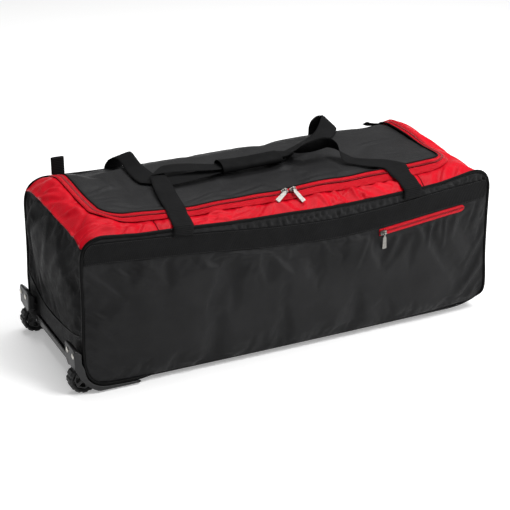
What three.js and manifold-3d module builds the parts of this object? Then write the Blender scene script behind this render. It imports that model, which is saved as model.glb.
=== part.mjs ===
import * as THREE from 'three';
import Module from 'manifold-3d';

// Wheeled kit bag. Sizes in millimetres. X runs along the bag from the wheel end and Z is up.
// Heights in the tables are taken from a level just under the floor; the finished bag stands on zero.

const solids = await Module();
solids.setup();

// Cloth body
const HALF_DEPTH = 165;
const CLOTH = 2;
const GAP = 0.3;
const PIPING_RADIUS = 3;
const SEAM_INSET = PIPING_RADIUS + GAP;
const WALL_INSET = SEAM_INSET + 0.7;
const SEAM_DROP = 1.5;
const WRAP_EDGE = HALF_DEPTH - SEAM_INSET;
const WHEEL_EDGE_X = -441;
const FAR_EDGE_X = 438;
const WHEEL_SEAM_X = -437;
const FAR_SEAM_X = 432;
const WALL_BULGE = 7;
const BACK_LIFT = 11;
const FLOOR = 4;
const BODY_MIDDLE = new THREE.Vector3(0, 0, 165);

// Lid opening
const LID_HALF_LENGTH = 370;
const LID_FRONT_Y = -110;
const LID_CORNER = 42;
const LID_PIPING_RADIUS = 1.6;
const TAPE_INNER = 1.9;
const TAPE_OUTER = 27.7;
const TAPE_THICK = 1.4;
const COIL_AT = 10;
const COIL_HALF = 2.6;
const COIL_RISE = 1.4;
const ZIP_END_Y = 158;
const GUSSET_START = 28.4;
const FRONT_SEAM_LEFT = -285;
const FRONT_SEAM_RIGHT = 287;

// Webbing
const BAND_WIDTH = 40;
const BAND_THICK = 1.5;
const STRAP_THICK = 2;
const WRAP_WALL = 1.8;
const WRAP_HALF_WIDTH = 23.4;
const WRAP_HALF_HEIGHT = 9.2;
const TAB_WIDTH = 26;

// Wheels and corner guards
const WHEEL_X = -441;
const WHEEL_Y = 144.5;
const WHEEL_RADIUS = 30;
const WHEEL_Z = FLOOR + WHEEL_RADIUS;
const WHEEL_WIDTH = 25;
const TREAD_BLOCKS = 12;
const TREAD_DEPTH = 2.2;
const HUB_RADIUS = 20.7;
const HUB_WIDTH = 21;
const AXLE_RADIUS = 4;
const WELL_RADIUS = 33.5;
const WELL_SHELL = 37.5;
const GUARD_FACE_X = -463;
const GUARD_BACK_X = -448.6;
const GUARD_TOP = 103.5;
const GUARD_OUTER_Y = 168.6;
const GUARD_INNER_Y = 112;
const SKID_END_X = -331;
const RIVET_Z = 89;
const RIVET_Y = [160, 129];
const KICK_FOOT = 42;

// Outline of the long walls, columns: along, bottom, top
const WALL_ROWS = [
  [-441, 66, 278],
  [-437, 45, 299],
  [-428, 31, 311],
  [-415, 23, 318],
  [-400, 19.5, 320.5],
  [-373, 18, 317],
  [-315, 17, 311],
  [-258, 17, 310],
  [-123, 17, 302],
  [-22, 17, 300],
  [71, 18, 297],
  [231, 20, 301],
  [332, 23, 307],
  [372, 26, 315],
  [404, 29, 320],
  [424, 33, 314],
  [433, 40, 302],
  [438, 54, 284],
];

// Sway of the upright edges of the long walls, columns: height, wheel end, far end
const SWAY_ROWS = [
  [40, 0, 1],
  [62, -1, 5],
  [91, -3, 3],
  [126, -2, 0],
  [184, 0, -1],
  [254, 0, -1],
  [290, 0, 0],
];

// Height of the top across the bag, columns: along, welt, lid front, lid middle, lid back, back round
const ROOF_ACROSS = [-137, -110, 0, 110, 143];
const ROOF_ROWS = [
  [-437, 309, 311, 312, 312, 308],
  [-418, 324, 327, 328, 330, 325],
  [-398, 331, 336, 338, 343, 334],
  [-370, 331, 337, 335, 341, 333],
  [-305, 323, 331, 331, 336, 326],
  [-207, 318, 325, 330, 337, 328],
  [-100, 317, 326, 330, 337, 328],
  [-25, 316, 326, 330, 337, 329],
  [45, 317, 329, 331, 338, 330],
  [115, 319, 333, 333, 339, 331],
  [205, 319, 333, 335, 341, 333],
  [320, 324, 338, 337, 341, 334],
  [370, 324, 331, 332, 337, 331],
  [396, 319, 322, 327, 333, 328],
  [415, 310, 312, 319, 326, 321],
  [432, 297, 297, 304, 311, 309],
];

// Slack folds across the front gusset, columns: along, half width, depth
const GUSSET_FOLDS = [
  [-240, 26, 2.4],
  [-175, 22, -2.2],
  [-118, 24, 2.6],
  [-62, 20, -2],
  [-20, 22, 2],
  [66, 24, 2.8],
  [110, 18, -2.4],
  [152, 22, 3],
  [196, 18, -2.6],
  [236, 20, 2.2],
];

// Soft dents and swells of the front wall, columns: along, height, half width, depth
const WALL_DENTS = [
  [-405, 205, 50, -3],
  [-330, 90, 70, 2.5],
  [-120, 150, 110, 2],
  [120, 120, 110, 2.5],
  [330, 200, 60, -3],
  [395, 90, 45, -3.5],
];

// Front webbing band, columns: along, top edge
const BAND_ROWS = [
  [-440, 308],
  [-410, 309],
  [-300, 301],
  [-206, 294],
  [-60, 280],
  [71, 273],
  [139, 275],
  [185, 278],
  [237, 282],
  [320, 290.5],
  [391, 296],
  [436, 299],
];

// Piped top of the kick panel, columns: across, height
const KICK_ROWS = [
  [-162, 125],
  [-132, 114],
  [-74, 104],
  [0, 97.5],
  [60, 99],
  [120, 114],
  [162, 130],
];

// Handle sections, columns: first edge along, across, lift, second edge along, across, lift
const FRONT_HANDLE_ROWS = [
  [-260, -170, -12, -219, -170, -15],
  [-260, -170.8, -3, -219, -170.8, -3],
  [-259, -168.8, 5, -218, -168.8, 5],
  [-258, -160, 7, -217, -160, 7],
  [-255, -137, 4.5, -215, -137, 4.5],
  [-251, -100, 4, -210, -100, 4],
  [-244, -55, 5.5, -203, -50, 5.5],
  [-236, -10, 9.2, -195, -2, 9.2],
  [-230, 14, 9.6, -192, 38, 9.6],
  [-225, 30, 11, -190, 64, 10.5],
  [-212, 30, 13.2, -176, 66, 12.4],
  [-170, 20, 16, -142, 54, 15],
  [-128, 7, 16.5, -116, 42, 15.5],
  [-90, -3, 17.2, -88, 33, 14.8],
  [-40, -1, 17.2, -40, 35, 14.6],
  [10, 2, 17, 10, 38, 14.6],
  [54, 5, 17.4, 54, 41, 15],
  [66, 1, 20.5, 68, 37, 15],
  [76, -7, 31, 80, 30, 14.5],
  [87, -12, 41, 93, 19, 13],
  [106, -12, 46.5, 112, 13, 12.8],
  [127, -10, 49, 127, 12, 13],
  [143, -10, 48, 145, 12.5, 14.5],
  [155, -13, 43, 158, 12, 16],
  [163, -22, 34, 170, 5, 13.5],
  [161, -35, 22, 179, -8, 10],
  [159, -48, 11.5, 186, -22, 7],
  [163, -58, 5.2, 193, -36, 4.6],
  [182, -80, 4, 216, -56, 4],
  [210, -104, 4, 246, -80, 4],
  [228, -128, 4.5, 268, -114, 4.5],
  [234, -147, 5, 273, -141, 5],
  [235, -160, 7, 275, -160, 7],
  [235, -168.8, 5, 275, -168.8, 5],
  [235, -170.8, -3, 275, -170.8, -3],
  [235, -170, -18, 275, -170, -16],
];
const BACK_HANDLE_ROWS = [
  [-270, 170, -17, -230, 170, -17],
  [-270, 170.8, -3, -230, 170.8, -3],
  [-269, 169.4, 5, -230, 169.4, 6],
  [-267, 166, 12, -229, 165.5, 18],
  [-263, 159, 21, -227, 154, 28],
  [-257, 150, 24, -225, 140, 32],
  [-254, 137, 21, -223, 128, 28],
  [-252, 124, 14.5, -222, 114, 20.5],
  [-252, 105, 6.5, -220, 95, 12.5],
  [-253, 80, 3.6, -214, 70, 7.4],
  [-253, 57, 3.4, -208, 44, 4.2],
  [-251, 36, 3.4, -205, 12, 3.4],
  [-247, 24, 3.4, -203, -11, 3.4],
  [-238, 22, 5.8, -196, -13, 5.8],
  [-214, 24, 6.3, -174, -13, 6.3],
  [-160, 27, 7, -140, -9, 7.4],
  [-120, 29, 7.2, -114, -6, 8.4],
  [-90, 32, 7.2, -90, -4, 9.6],
  [-40, 35, 7.2, -40, -1, 9.7],
  [10, 38, 7.2, 10, 2, 9.7],
  [54, 41, 7.4, 54, 5, 9.8],
  [66, 46, 7.4, 66, 10, 10],
  [80, 52, 7, 80, 18, 10.5],
  [92, 57.5, 7, 94, 28, 13],
  [112, 66, 8, 120, 42, 18.5],
  [140, 80, 9.5, 160, 62, 13],
  [166, 95, 12, 196, 74, 6.5],
  [181, 106, 16, 214, 88, 3.8],
  [196, 120, 26, 230, 108, 4.6],
  [211, 138, 39, 241, 126, 7],
  [219, 151, 47, 246, 142, 9],
  [212, 159, 51, 243, 156, 17],
  [201, 163, 43.7, 239, 163, 20],
  [196, 167, 29, 236, 167, 18],
  [196, 169.6, 12, 236, 169.6, 9],
  [195, 171, -3, 235, 171, -3],
  [195, 170, -17, 235, 170, -17],
];

// Curves through tables
function smooth(stations, values, at) {
  const last = stations.length - 1;
  if (at <= stations[0]) {
    return values[0];
  }
  if (at >= stations[last]) {
    return values[last];
  }
  let row = 0;
  while (at > stations[row + 1]) {
    row += 1;
  }
  const slope = (index) => {
    const before = Math.max(index - 1, 0);
    const after = Math.min(index + 1, last);
    return (values[after] - values[before]) / (stations[after] - stations[before]);
  };
  const span = stations[row + 1] - stations[row];
  const part = (at - stations[row]) / span;
  const rise = values[row + 1] - values[row];
  const start = slope(row) * span;
  const end = slope(row + 1) * span;
  const square = part * part;
  return values[row] + part * start + square * (3 * rise - 2 * start - end)
    + square * part * (start + end - 2 * rise);
}

function column(rows, index) {
  return rows.map((row) => row[index]);
}

function fromRows(rows, index) {
  const stations = column(rows, 0);
  const values = column(rows, index);
  return (at) => smooth(stations, values, at);
}

function mix(first, second, part) {
  return first + (second - first) * part;
}

function ease(part) {
  const kept = Math.min(Math.max(part, 0), 1);
  return kept * kept * (3 - 2 * kept);
}

function steps(from, to, count) {
  const list = [];
  for (let index = 0; index <= count; index += 1) {
    list.push(mix(from, to, index / count));
  }
  return list;
}

const wallBottom = fromRows(WALL_ROWS, 1);
const wallTop = fromRows(WALL_ROWS, 2);
const wheelSway = fromRows(SWAY_ROWS, 1);
const farSway = fromRows(SWAY_ROWS, 2);
const bandTop = fromRows(BAND_ROWS, 1);
const kickTop = fromRows(KICK_ROWS, 1);
const roofColumns = ROOF_ACROSS.map((across, index) => fromRows(ROOF_ROWS, index + 1));

function backTop(x) {
  return wallTop(x) + BACK_LIFT * (1 - (x / 441) ** 4);
}

function roofHeight(x, y) {
  const stations = [-WRAP_EDGE, ...ROOF_ACROSS, WRAP_EDGE];
  const values = [wallTop(x), ...roofColumns.map((height) => height(x)), backTop(x)];
  return smooth(stations, values, y);
}

// Solids from sections
function solidFrom(points, faces) {
  const geometry = new THREE.BufferGeometry();
  const flat = [];
  points.forEach((point) => flat.push(point.x, point.y, point.z));
  geometry.setAttribute('position', new THREE.Float32BufferAttribute(flat, 3));
  geometry.setIndex(faces);
  return geometry;
}

function signedVolume(geometry) {
  const places = geometry.getAttribute('position');
  const index = geometry.getIndex();
  const first = new THREE.Vector3();
  const second = new THREE.Vector3();
  const third = new THREE.Vector3();
  let total = 0;
  for (let face = 0; face < index.count; face += 3) {
    first.fromBufferAttribute(places, index.getX(face));
    second.fromBufferAttribute(places, index.getX(face + 1));
    third.fromBufferAttribute(places, index.getX(face + 2));
    total += first.dot(second.cross(third)) / 6;
  }
  return total;
}

function facingOut(geometry) {
  if (signedVolume(geometry) < 0) {
    const order = geometry.getIndex().array;
    for (let face = 0; face < order.length; face += 3) {
      const kept = order[face + 1];
      order[face + 1] = order[face + 2];
      order[face + 2] = kept;
    }
  }
  return geometry;
}

// A thin sheet with bevelled edges: the outer face follows place(u, v), the inner one lies inside the bag.
function sheet(place, alongs, acrosses, thick, bevel) {
  const wide = alongs.length;
  const tall = acrosses.length;
  const outer = alongs.map((u) => acrosses.map((v) => place(u, v)));
  const inner = [];
  for (let i = 0; i < wide; i += 1) {
    inner.push([]);
    for (let j = 0; j < tall; j += 1) {
      const here = outer[i][j];
      const before = outer[Math.max(i - 1, 0)][j];
      const after = outer[Math.min(i + 1, wide - 1)][j];
      const below = outer[i][Math.max(j - 1, 0)];
      const above = outer[i][Math.min(j + 1, tall - 1)];
      const along = after.clone().sub(before).normalize();
      const across = above.clone().sub(below).normalize();
      const normal = along.clone().cross(across).normalize();
      if (normal.dot(here.clone().sub(BODY_MIDDLE)) < 0) {
        normal.negate();
      }
      const point = here.clone().addScaledVector(normal, -thick);
      const alongShift = (i === 0 ? bevel : 0) - (i === wide - 1 ? bevel : 0);
      const acrossShift = (j === 0 ? bevel : 0) - (j === tall - 1 ? bevel : 0);
      point.addScaledVector(along, alongShift).addScaledVector(across, acrossShift);
      inner[i].push(point);
    }
  }
  const points = [...outer.flat(), ...inner.flat()];
  const total = wide * tall;
  const at = (i, j) => i * tall + j;
  const faces = [];
  const quad = (a, b, c, d) => faces.push(a, b, c, a, c, d);
  for (let i = 0; i < wide - 1; i += 1) {
    for (let j = 0; j < tall - 1; j += 1) {
      quad(at(i, j), at(i + 1, j), at(i + 1, j + 1), at(i, j + 1));
      quad(total + at(i, j), total + at(i, j + 1), total + at(i + 1, j + 1), total + at(i + 1, j));
    }
    quad(at(i, 0), total + at(i, 0), total + at(i + 1, 0), at(i + 1, 0));
    quad(at(i + 1, tall - 1), total + at(i + 1, tall - 1), total + at(i, tall - 1), at(i, tall - 1));
  }
  for (let j = 0; j < tall - 1; j += 1) {
    quad(at(0, j + 1), total + at(0, j + 1), total + at(0, j), at(0, j));
    quad(at(wide - 1, j), total + at(wide - 1, j), total + at(wide - 1, j + 1), at(wide - 1, j + 1));
  }
  return facingOut(solidFrom(points, faces));
}

// A solid through matching closed sections, with flat ends unless the run closes on itself.
function sweep(sections, closed) {
  const size = sections[0].length;
  const count = sections.length;
  const points = sections.flat();
  const faces = [];
  const runs = closed ? count : count - 1;
  for (let run = 0; run < runs; run += 1) {
    const here = run * size;
    const next = ((run + 1) % count) * size;
    for (let side = 0; side < size; side += 1) {
      const other = (side + 1) % size;
      faces.push(here + side, next + side, next + other, here + side, next + other, here + other);
    }
  }
  if (!closed) {
    const end = (count - 1) * size;
    for (let side = 1; side < size - 1; side += 1) {
      faces.push(0, side, side + 1, end, end + side + 1, end + side);
    }
  }
  return facingOut(solidFrom(points, faces));
}

function pathDirections(path, closed) {
  const count = path.length;
  return path.map((point, index) => {
    const before = closed ? (index + count - 1) % count : Math.max(index - 1, 0);
    const after = closed ? (index + 1) % count : Math.min(index + 1, count - 1);
    return path[after].clone().sub(path[before]).normalize();
  });
}

// A round cord along a path, with one side of its sections kept towards a given direction.
function cord(path, radius, sides, closed, towards) {
  const directions = pathDirections(path, closed);
  const sections = path.map((point, index) => {
    const ahead = directions[index];
    const side = towards.clone().cross(ahead).normalize();
    const up = ahead.clone().cross(side).normalize();
    const loop = [];
    for (let turn = 0; turn < sides; turn += 1) {
      const angle = ((turn + 0.5) / sides) * Math.PI * 2;
      const place = point.clone();
      place.addScaledVector(side, Math.cos(angle) * radius);
      place.addScaledVector(up, Math.sin(angle) * radius);
      loop.push(place);
    }
    return loop;
  });
  return sweep(sections, closed);
}

// A flat strap between two edge lines.
function strap(firstEdge, secondEdge, thick) {
  const middle = firstEdge.map((point, index) => point.clone().add(secondEdge[index]).multiplyScalar(0.5));
  const directions = pathDirections(middle, false);
  const sections = firstEdge.map((first, index) => {
    const second = secondEdge[index];
    const across = second.clone().sub(first).normalize();
    const normal = across.clone().cross(directions[index]).normalize().multiplyScalar(thick / 2);
    return [
      first.clone().add(normal),
      second.clone().add(normal),
      second.clone().sub(normal),
      first.clone().sub(normal),
    ];
  });
  return sweep(sections, false);
}

// Joining and cutting of solids
function toSolid(geometry) {
  const welded = new Map();
  const source = geometry.getAttribute('position');
  const index = geometry.getIndex();
  const places = [];
  const faces = [];
  const count = index ? index.count : source.count;
  for (let corner = 0; corner < count; corner += 1) {
    const from = index ? index.getX(corner) : corner;
    const values = [source.getX(from), source.getY(from), source.getZ(from)];
    const key = values.map((value) => Math.round(value * 10000)).join(' ');
    if (!welded.has(key)) {
      welded.set(key, places.length / 3);
      places.push(...values);
    }
    faces.push(welded.get(key));
  }
  const kept = [];
  for (let face = 0; face < faces.length; face += 3) {
    const [a, b, c] = [faces[face], faces[face + 1], faces[face + 2]];
    if (a !== b && b !== c && c !== a) {
      kept.push(a, b, c);
    }
  }
  const mesh = new solids.Mesh({
    numProp: 3,
    vertProperties: new Float32Array(places),
    triVerts: new Uint32Array(kept),
  });
  return new solids.Manifold(mesh);
}

function fromSolid(solid) {
  const mesh = solid.getMesh();
  const geometry = new THREE.BufferGeometry();
  const places = [];
  for (let vertex = 0; vertex < mesh.vertProperties.length; vertex += mesh.numProp) {
    places.push(...mesh.vertProperties.slice(vertex, vertex + 3));
  }
  geometry.setAttribute('position', new THREE.Float32BufferAttribute(places, 3));
  geometry.setIndex(Array.from(mesh.triVerts));
  return geometry;
}

function joined(list) {
  return list.map(toSolid).reduce((all, next) => all.add(next));
}

function cutFrom(solid, list) {
  return list.map(toSolid).reduce((all, next) => all.subtract(next), solid);
}

function block(low, high) {
  const size = new THREE.Vector3().subVectors(high, low);
  const geometry = new THREE.BoxGeometry(size.x, size.y, size.z);
  geometry.translate((low.x + high.x) / 2, (low.y + high.y) / 2, (low.z + high.z) / 2);
  return geometry;
}

function rod(radius, fromY, toY, x, z, sides) {
  const geometry = new THREE.CylinderGeometry(radius, radius, Math.abs(toY - fromY), sides);
  geometry.translate(x, (fromY + toY) / 2, z);
  return geometry;
}

// A flat outline in X and Z given a thickness along Y.
function slab(outline, lowY, highY) {
  const shape = new THREE.Shape(outline.map(([x, z]) => new THREE.Vector2(x, z)));
  const geometry = new THREE.ExtrudeGeometry(shape, { depth: highY - lowY, bevelEnabled: false });
  geometry.rotateX(Math.PI / 2);
  geometry.translate(0, highY, 0);
  return geometry;
}

// A flat outline in Y and Z given a thickness along X.
function plate(outline, lowX, highX) {
  const shape = new THREE.Shape(outline.map(([y, z]) => new THREE.Vector2(y, z)));
  const geometry = new THREE.ExtrudeGeometry(shape, { depth: highX - lowX, bevelEnabled: false });
  const turn = new THREE.Matrix4().makeBasis(
    new THREE.Vector3(0, 1, 0),
    new THREE.Vector3(0, 0, 1),
    new THREE.Vector3(1, 0, 0),
  );
  geometry.applyMatrix4(turn);
  geometry.translate(lowX, 0, 0);
  return geometry;
}

// Finishes
function finish(color, roughness, metalness) {
  return new THREE.MeshStandardMaterial({ color, roughness, metalness });
}

const BLACK_CLOTH = [0x222224, 0.75, 0];
const COATED_CLOTH = [0x1c1c1d, 0.6, 0];
const RED_CLOTH = [0xc8142c, 0.45, 0];
const RED_TAPE = [0xb5102a, 0.6, 0];
const BLACK_WEB = [0x151516, 0.8, 0];
const BLACK_PIPING = [0x111112, 0.4, 0];
const DARK_PLASTIC = [0x2b2b2d, 0.5, 0];
const GLOSS_PLASTIC = [0x1a1a1b, 0.25, 0];
const RUBBER = [0x161616, 0.85, 0];
const BRIGHT_METAL = [0xc9c6c0, 0.3, 1];
const STEEL = [0x8d8d8f, 0.4, 1];

const bag = new THREE.Group();
bag.name = 'wheeled_kit_bag';

function add(name, geometry, look) {
  const mesh = new THREE.Mesh(geometry, finish(...look));
  mesh.name = name;
  bag.add(mesh);
}

// Long walls
const WALL_SIDES = { front: -1, back: 1 };

function topOfWall(x, side) {
  return side < 0 ? wallTop(x) : backTop(x);
}

function insetBottom(x, inset) {
  const reach = steps(-inset, inset, 12);
  return Math.max(...reach.map((shift) => {
    const place = Math.min(Math.max(x + shift, WHEEL_EDGE_X), FAR_EDGE_X);
    return wallBottom(place) + Math.sqrt(Math.max(inset * inset - shift * shift, 0));
  }));
}

function insetTop(x, inset, side) {
  const reach = steps(-inset, inset, 12);
  return Math.min(...reach.map((shift) => {
    const place = Math.min(Math.max(x + shift, WHEEL_EDGE_X), FAR_EDGE_X);
    return topOfWall(place, side) - Math.sqrt(Math.max(inset * inset - shift * shift, 0));
  }));
}

function wallSwell(x, z, side) {
  const height = (z - wallBottom(x)) / (topOfWall(x, side) - wallBottom(x));
  const upright = Math.sin(Math.PI * Math.min(Math.max(height, 0), 1));
  const lengthwise = 1 - (Math.abs(x) / 441) ** 6;
  const dents = WALL_DENTS.map(([along, up, half, depth]) => {
    const apart = ((x - along) / half) ** 2 + ((z - up) / half) ** 2;
    return side < 0 ? depth * Math.exp(-apart) : 0;
  });
  return upright * lengthwise * dents.reduce((total, dent) => total + dent, WALL_BULGE);
}

function wallAt(x, z, side, lift) {
  const nearWheels = ease((-x - 330) / 110);
  const nearFar = ease((x - 330) / 108);
  const along = x + nearWheels * wheelSway(z) + nearFar * farSway(z);
  return new THREE.Vector3(along, side * (HALF_DEPTH + wallSwell(x, z, side) + lift), z);
}

function wallStations(count) {
  const low = WHEEL_EDGE_X + WALL_INSET;
  const high = FAR_EDGE_X - WALL_INSET;
  const corner = [0, 3, 9, 20, 36];
  const nearWheels = corner.map((step) => low + step);
  const nearFar = corner.map((step) => high - step).reverse();
  return [...nearWheels, ...steps(low + 70, high - 70, count), ...nearFar];
}

function wallPanel(side, count, rows) {
  const place = (x, part) => {
    const z = mix(insetBottom(x, WALL_INSET), insetTop(x, WALL_INSET, side), part);
    return wallAt(x, z, side, 0);
  };
  return sheet(place, wallStations(count), steps(0, 1, rows), CLOTH, 1);
}

add('front_panel', wallPanel(WALL_SIDES.front, 17, 7), BLACK_CLOTH);
add('back_panel', wallPanel(WALL_SIDES.back, 10, 4), BLACK_CLOTH);

// Piping round the long walls
function wallOutline(side, count) {
  const corner = [0, 4, 13, 26, 41];
  const stations = [
    ...corner.map((step) => WHEEL_EDGE_X + step),
    ...steps(WHEEL_EDGE_X + 80, FAR_EDGE_X - 66, count),
    ...corner.map((step) => FAR_EDGE_X - step).reverse(),
  ];
  const backward = [...stations].reverse();
  const rise = [0.2, 0.4, 0.6, 0.8];
  const outline = stations.map((x) => [x, wallBottom(x)]);
  rise.forEach((part) => {
    outline.push([FAR_EDGE_X, mix(wallBottom(FAR_EDGE_X), topOfWall(FAR_EDGE_X, side), part)]);
  });
  backward.forEach((x) => outline.push([x, topOfWall(x, side)]));
  [...rise].reverse().forEach((part) => {
    outline.push([WHEEL_EDGE_X, mix(wallBottom(WHEEL_EDGE_X), topOfWall(WHEEL_EDGE_X, side), part)]);
  });
  return outline.map(([x, z]) => {
    const point = wallAt(x, z, side, 0);
    point.y = side * HALF_DEPTH;
    return point;
  });
}

const ALONG_Y = new THREE.Vector3(0, 1, 0);
add('front_piping', cord(wallOutline(-1, 12), PIPING_RADIUS, 5, true, ALONG_Y), BLACK_PIPING);
add('back_piping', cord(wallOutline(1, 7), PIPING_RADIUS, 5, true, ALONG_Y), BLACK_PIPING);

// Base
const BASE_WHEEL_X = -439;
const BASE_FAR_X = 429.7;

function baseHeight(x, y) {
  const sideRise = (wallBottom(x) - FLOOR) * Math.max(1 - (WRAP_EDGE - Math.abs(y)) / 26, 0) ** 2;
  const wheelRise = (KICK_FOOT - 0.6 - FLOOR) * Math.max(1 - (x - BASE_WHEEL_X) / 62, 0) ** 2;
  const farRise = (33 - FLOOR) * Math.max(1 - (BASE_FAR_X - x) / 46, 0) ** 2;
  return FLOOR + (sideRise ** 6 + wheelRise ** 6 + farRise ** 6) ** (1 / 6);
}

const basePlace = (x, y) => new THREE.Vector3(x, y, baseHeight(x, y));
const baseNearWheels = [BASE_WHEEL_X, -431, -420, -406, -388, -372];
const baseAlong = [...baseNearWheels, ...steps(-300, 360, 3), 386, 406, 420, BASE_FAR_X];
const baseSide = [WRAP_EDGE, 156, 147, 135];
const baseAcross = [...baseSide.map((y) => -y), 0, ...[...baseSide].reverse()];
const wellNotches = [-1, 1].map((side) => {
  const near = Math.min(side * 125.4, side * 175);
  const far = Math.max(side * 125.4, side * 175);
  return block(new THREE.Vector3(-480, near, -10), new THREE.Vector3(-401.5, far, 75));
});
const baseSheet = toSolid(sheet(basePlace, baseAlong, baseAcross, CLOTH, 1.2));
add('base_panel', fromSolid(cutFrom(baseSheet, wellNotches)), COATED_CLOTH);

// Wheel end
const KICK_PIPING_RADIUS = 2;

function wheelEndX(y, z) {
  const lean = (WHEEL_SEAM_X - WHEEL_EDGE_X) * ease((z - 278) / 21);
  const tall = ease((z - 120) / 90) * (1 - ease((z - 245) / 65));
  const swell = 7 * tall * (1 - (y / WRAP_EDGE) ** 2);
  return WHEEL_EDGE_X + wheelSway(z) + lean - swell;
}

function wheelEndAt(y, z) {
  return new THREE.Vector3(wheelEndX(y, z), y, z);
}

const endAcross = [-WRAP_EDGE, -145, -110, -60, 0, 60, 110, 145, WRAP_EDGE];
const endGap = KICK_PIPING_RADIUS + 1.1;
add('wheel_end_panel', sheet(
  (y, part) => wheelEndAt(y, mix(kickTop(y) + endGap, roofHeight(WHEEL_SEAM_X, y) - SEAM_DROP, part)),
  endAcross,
  [0, 0.14, 0.3, 0.46, 0.62, 0.78, 0.9, 0.96, 1],
  CLOTH,
  1.6,
), BLACK_CLOTH);
const kickSheet = toSolid(sheet(
  (y, part) => wheelEndAt(y, mix(KICK_FOOT, kickTop(y) - endGap, part)),
  endAcross,
  steps(0, 1, 4),
  CLOTH,
  1.2,
));
add('kick_panel', fromSolid(cutFrom(kickSheet, wellNotches)), COATED_CLOTH);
const kickLine = steps(-WRAP_EDGE + GAP, WRAP_EDGE - GAP, 12).map((y) => wheelEndAt(y, kickTop(y)));
add('kick_piping', cord(kickLine, KICK_PIPING_RADIUS, 6, false, new THREE.Vector3(1, 0, 0)), BLACK_PIPING);

// Far end
function farEndX(y, z) {
  const foot = -8 * (1 - ease((z - 33) / 22));
  const lean = (FAR_SEAM_X - FAR_EDGE_X) * ease((z - 284) / 18);
  const swell = 9 * ease((z - 40) / 110) * (1 - ease((z - 200) / 110)) * (1 - (y / WRAP_EDGE) ** 2);
  return FAR_EDGE_X + farSway(z) + foot + lean + swell;
}

add('far_end_panel', sheet(
  (y, part) => {
    const z = mix(baseHeight(BASE_FAR_X, y) + 0.6, roofHeight(FAR_SEAM_X, y) - SEAM_DROP, part);
    return new THREE.Vector3(farEndX(y, z), y, z);
  },
  endAcross,
  [0, 0.04, 0.1, 0.25, 0.45, 0.65, 0.85, 0.95, 1],
  CLOTH,
  1.6,
), BLACK_CLOTH);

// Lid
function lidFront(x, inset) {
  const half = LID_HALF_LENGTH - inset;
  const corner = LID_CORNER - inset;
  const past = Math.max(Math.abs(x) - (half - corner), 0);
  return LID_FRONT_Y + inset + corner - Math.sqrt(Math.max(corner * corner - past * past, 0));
}

const roofPlace = (x, y) => new THREE.Vector3(x, y, roofHeight(x, y));
const LID_INSET = 2.2;
const lidEdge = LID_HALF_LENGTH - LID_INSET;
const lidCorner = [0, 2.5, 9, 20, 40];
const lidAlong = [
  ...lidCorner.map((step) => -lidEdge + step),
  ...steps(-270, 270, 8),
  ...lidCorner.map((step) => lidEdge - step).reverse(),
];
add('lid_panel', sheet(
  (x, part) => roofPlace(x, mix(lidFront(x, LID_INSET), WRAP_EDGE, part)),
  lidAlong,
  [0, 0.12, 0.28, 0.46, 0.64, 0.8, 0.92, 1],
  CLOTH,
  1,
), BLACK_CLOTH);

// Line of the lid edge with its outward direction
function lidLine(backY, straight, turn, long) {
  const centre = LID_HALF_LENGTH - LID_CORNER;
  const cornerY = LID_FRONT_Y + LID_CORNER;
  const line = steps(backY, cornerY, straight).slice(0, -1).map((y) => [-LID_HALF_LENGTH, y, -1, 0]);
  const bend = (middle, from, to) => steps(from, to, turn).map((angle) => {
    const across = Math.cos(angle);
    const back = Math.sin(angle);
    return [middle + LID_CORNER * across, cornerY + LID_CORNER * back, across, back];
  });
  line.push(...bend(-centre, Math.PI, Math.PI * 1.5));
  line.push(...steps(-centre, centre, long).slice(1, -1).map((x) => [x, LID_FRONT_Y, 0, -1]));
  line.push(...bend(centre, Math.PI * 1.5, Math.PI * 2));
  line.push(...steps(cornerY, backY, straight).slice(1).map((y) => [LID_HALF_LENGTH, y, 1, 0]));
  return line;
}

const zipLine = lidLine(ZIP_END_Y, 5, 4, 13);
const pipingLine = zipLine.map(([x, y]) => roofPlace(x, y));
add('lid_piping', cord(pipingLine, LID_PIPING_RADIUS, 5, false, new THREE.Vector3(0, 0, 1)), BLACK_PIPING);

// Zip tape round the lid, columns: distance from the lid edge, height over the cloth
const TAPE_ROWS = [
  [TAPE_INNER, 0],
  [COIL_AT - COIL_HALF - 0.4, 0],
  [COIL_AT - COIL_HALF * 0.6, COIL_RISE],
  [COIL_AT + COIL_HALF * 0.6, COIL_RISE],
  [COIL_AT + COIL_HALF + 0.4, 0],
  [TAPE_OUTER, 0],
  [TAPE_OUTER, -TAPE_THICK],
  [TAPE_INNER, -TAPE_THICK],
];
add('lid_zip_tape', sweep(zipLine.map(([x, y, outX, outY]) => TAPE_ROWS.map(([away, rise]) => {
  const point = roofPlace(x + outX * away, y + outY * away);
  point.z += rise;
  return point;
})), false), RED_TAPE);

// Red gusset
function gussetFold(x, part) {
  const swell = Math.sin(Math.PI * Math.min(Math.max(part, 0), 1));
  const folds = GUSSET_FOLDS.map(([along, half, depth]) => depth * Math.exp(-(((x - along) / half) ** 2)));
  return swell * folds.reduce((total, fold) => total + fold, 0);
}

const gussetParts = [0, 0.33, 0.66, 1];
const frontInner = LID_FRONT_Y - GUSSET_START;
add('gusset_front', sheet(
  (x, part) => {
    const point = roofPlace(x, mix(frontInner, -WRAP_EDGE, part));
    point.z += gussetFold(x, part);
    return point;
  },
  steps(FRONT_SEAM_LEFT + GAP, FRONT_SEAM_RIGHT - GAP, 30),
  gussetParts,
  CLOTH,
  1.2,
), RED_CLOTH);

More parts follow.
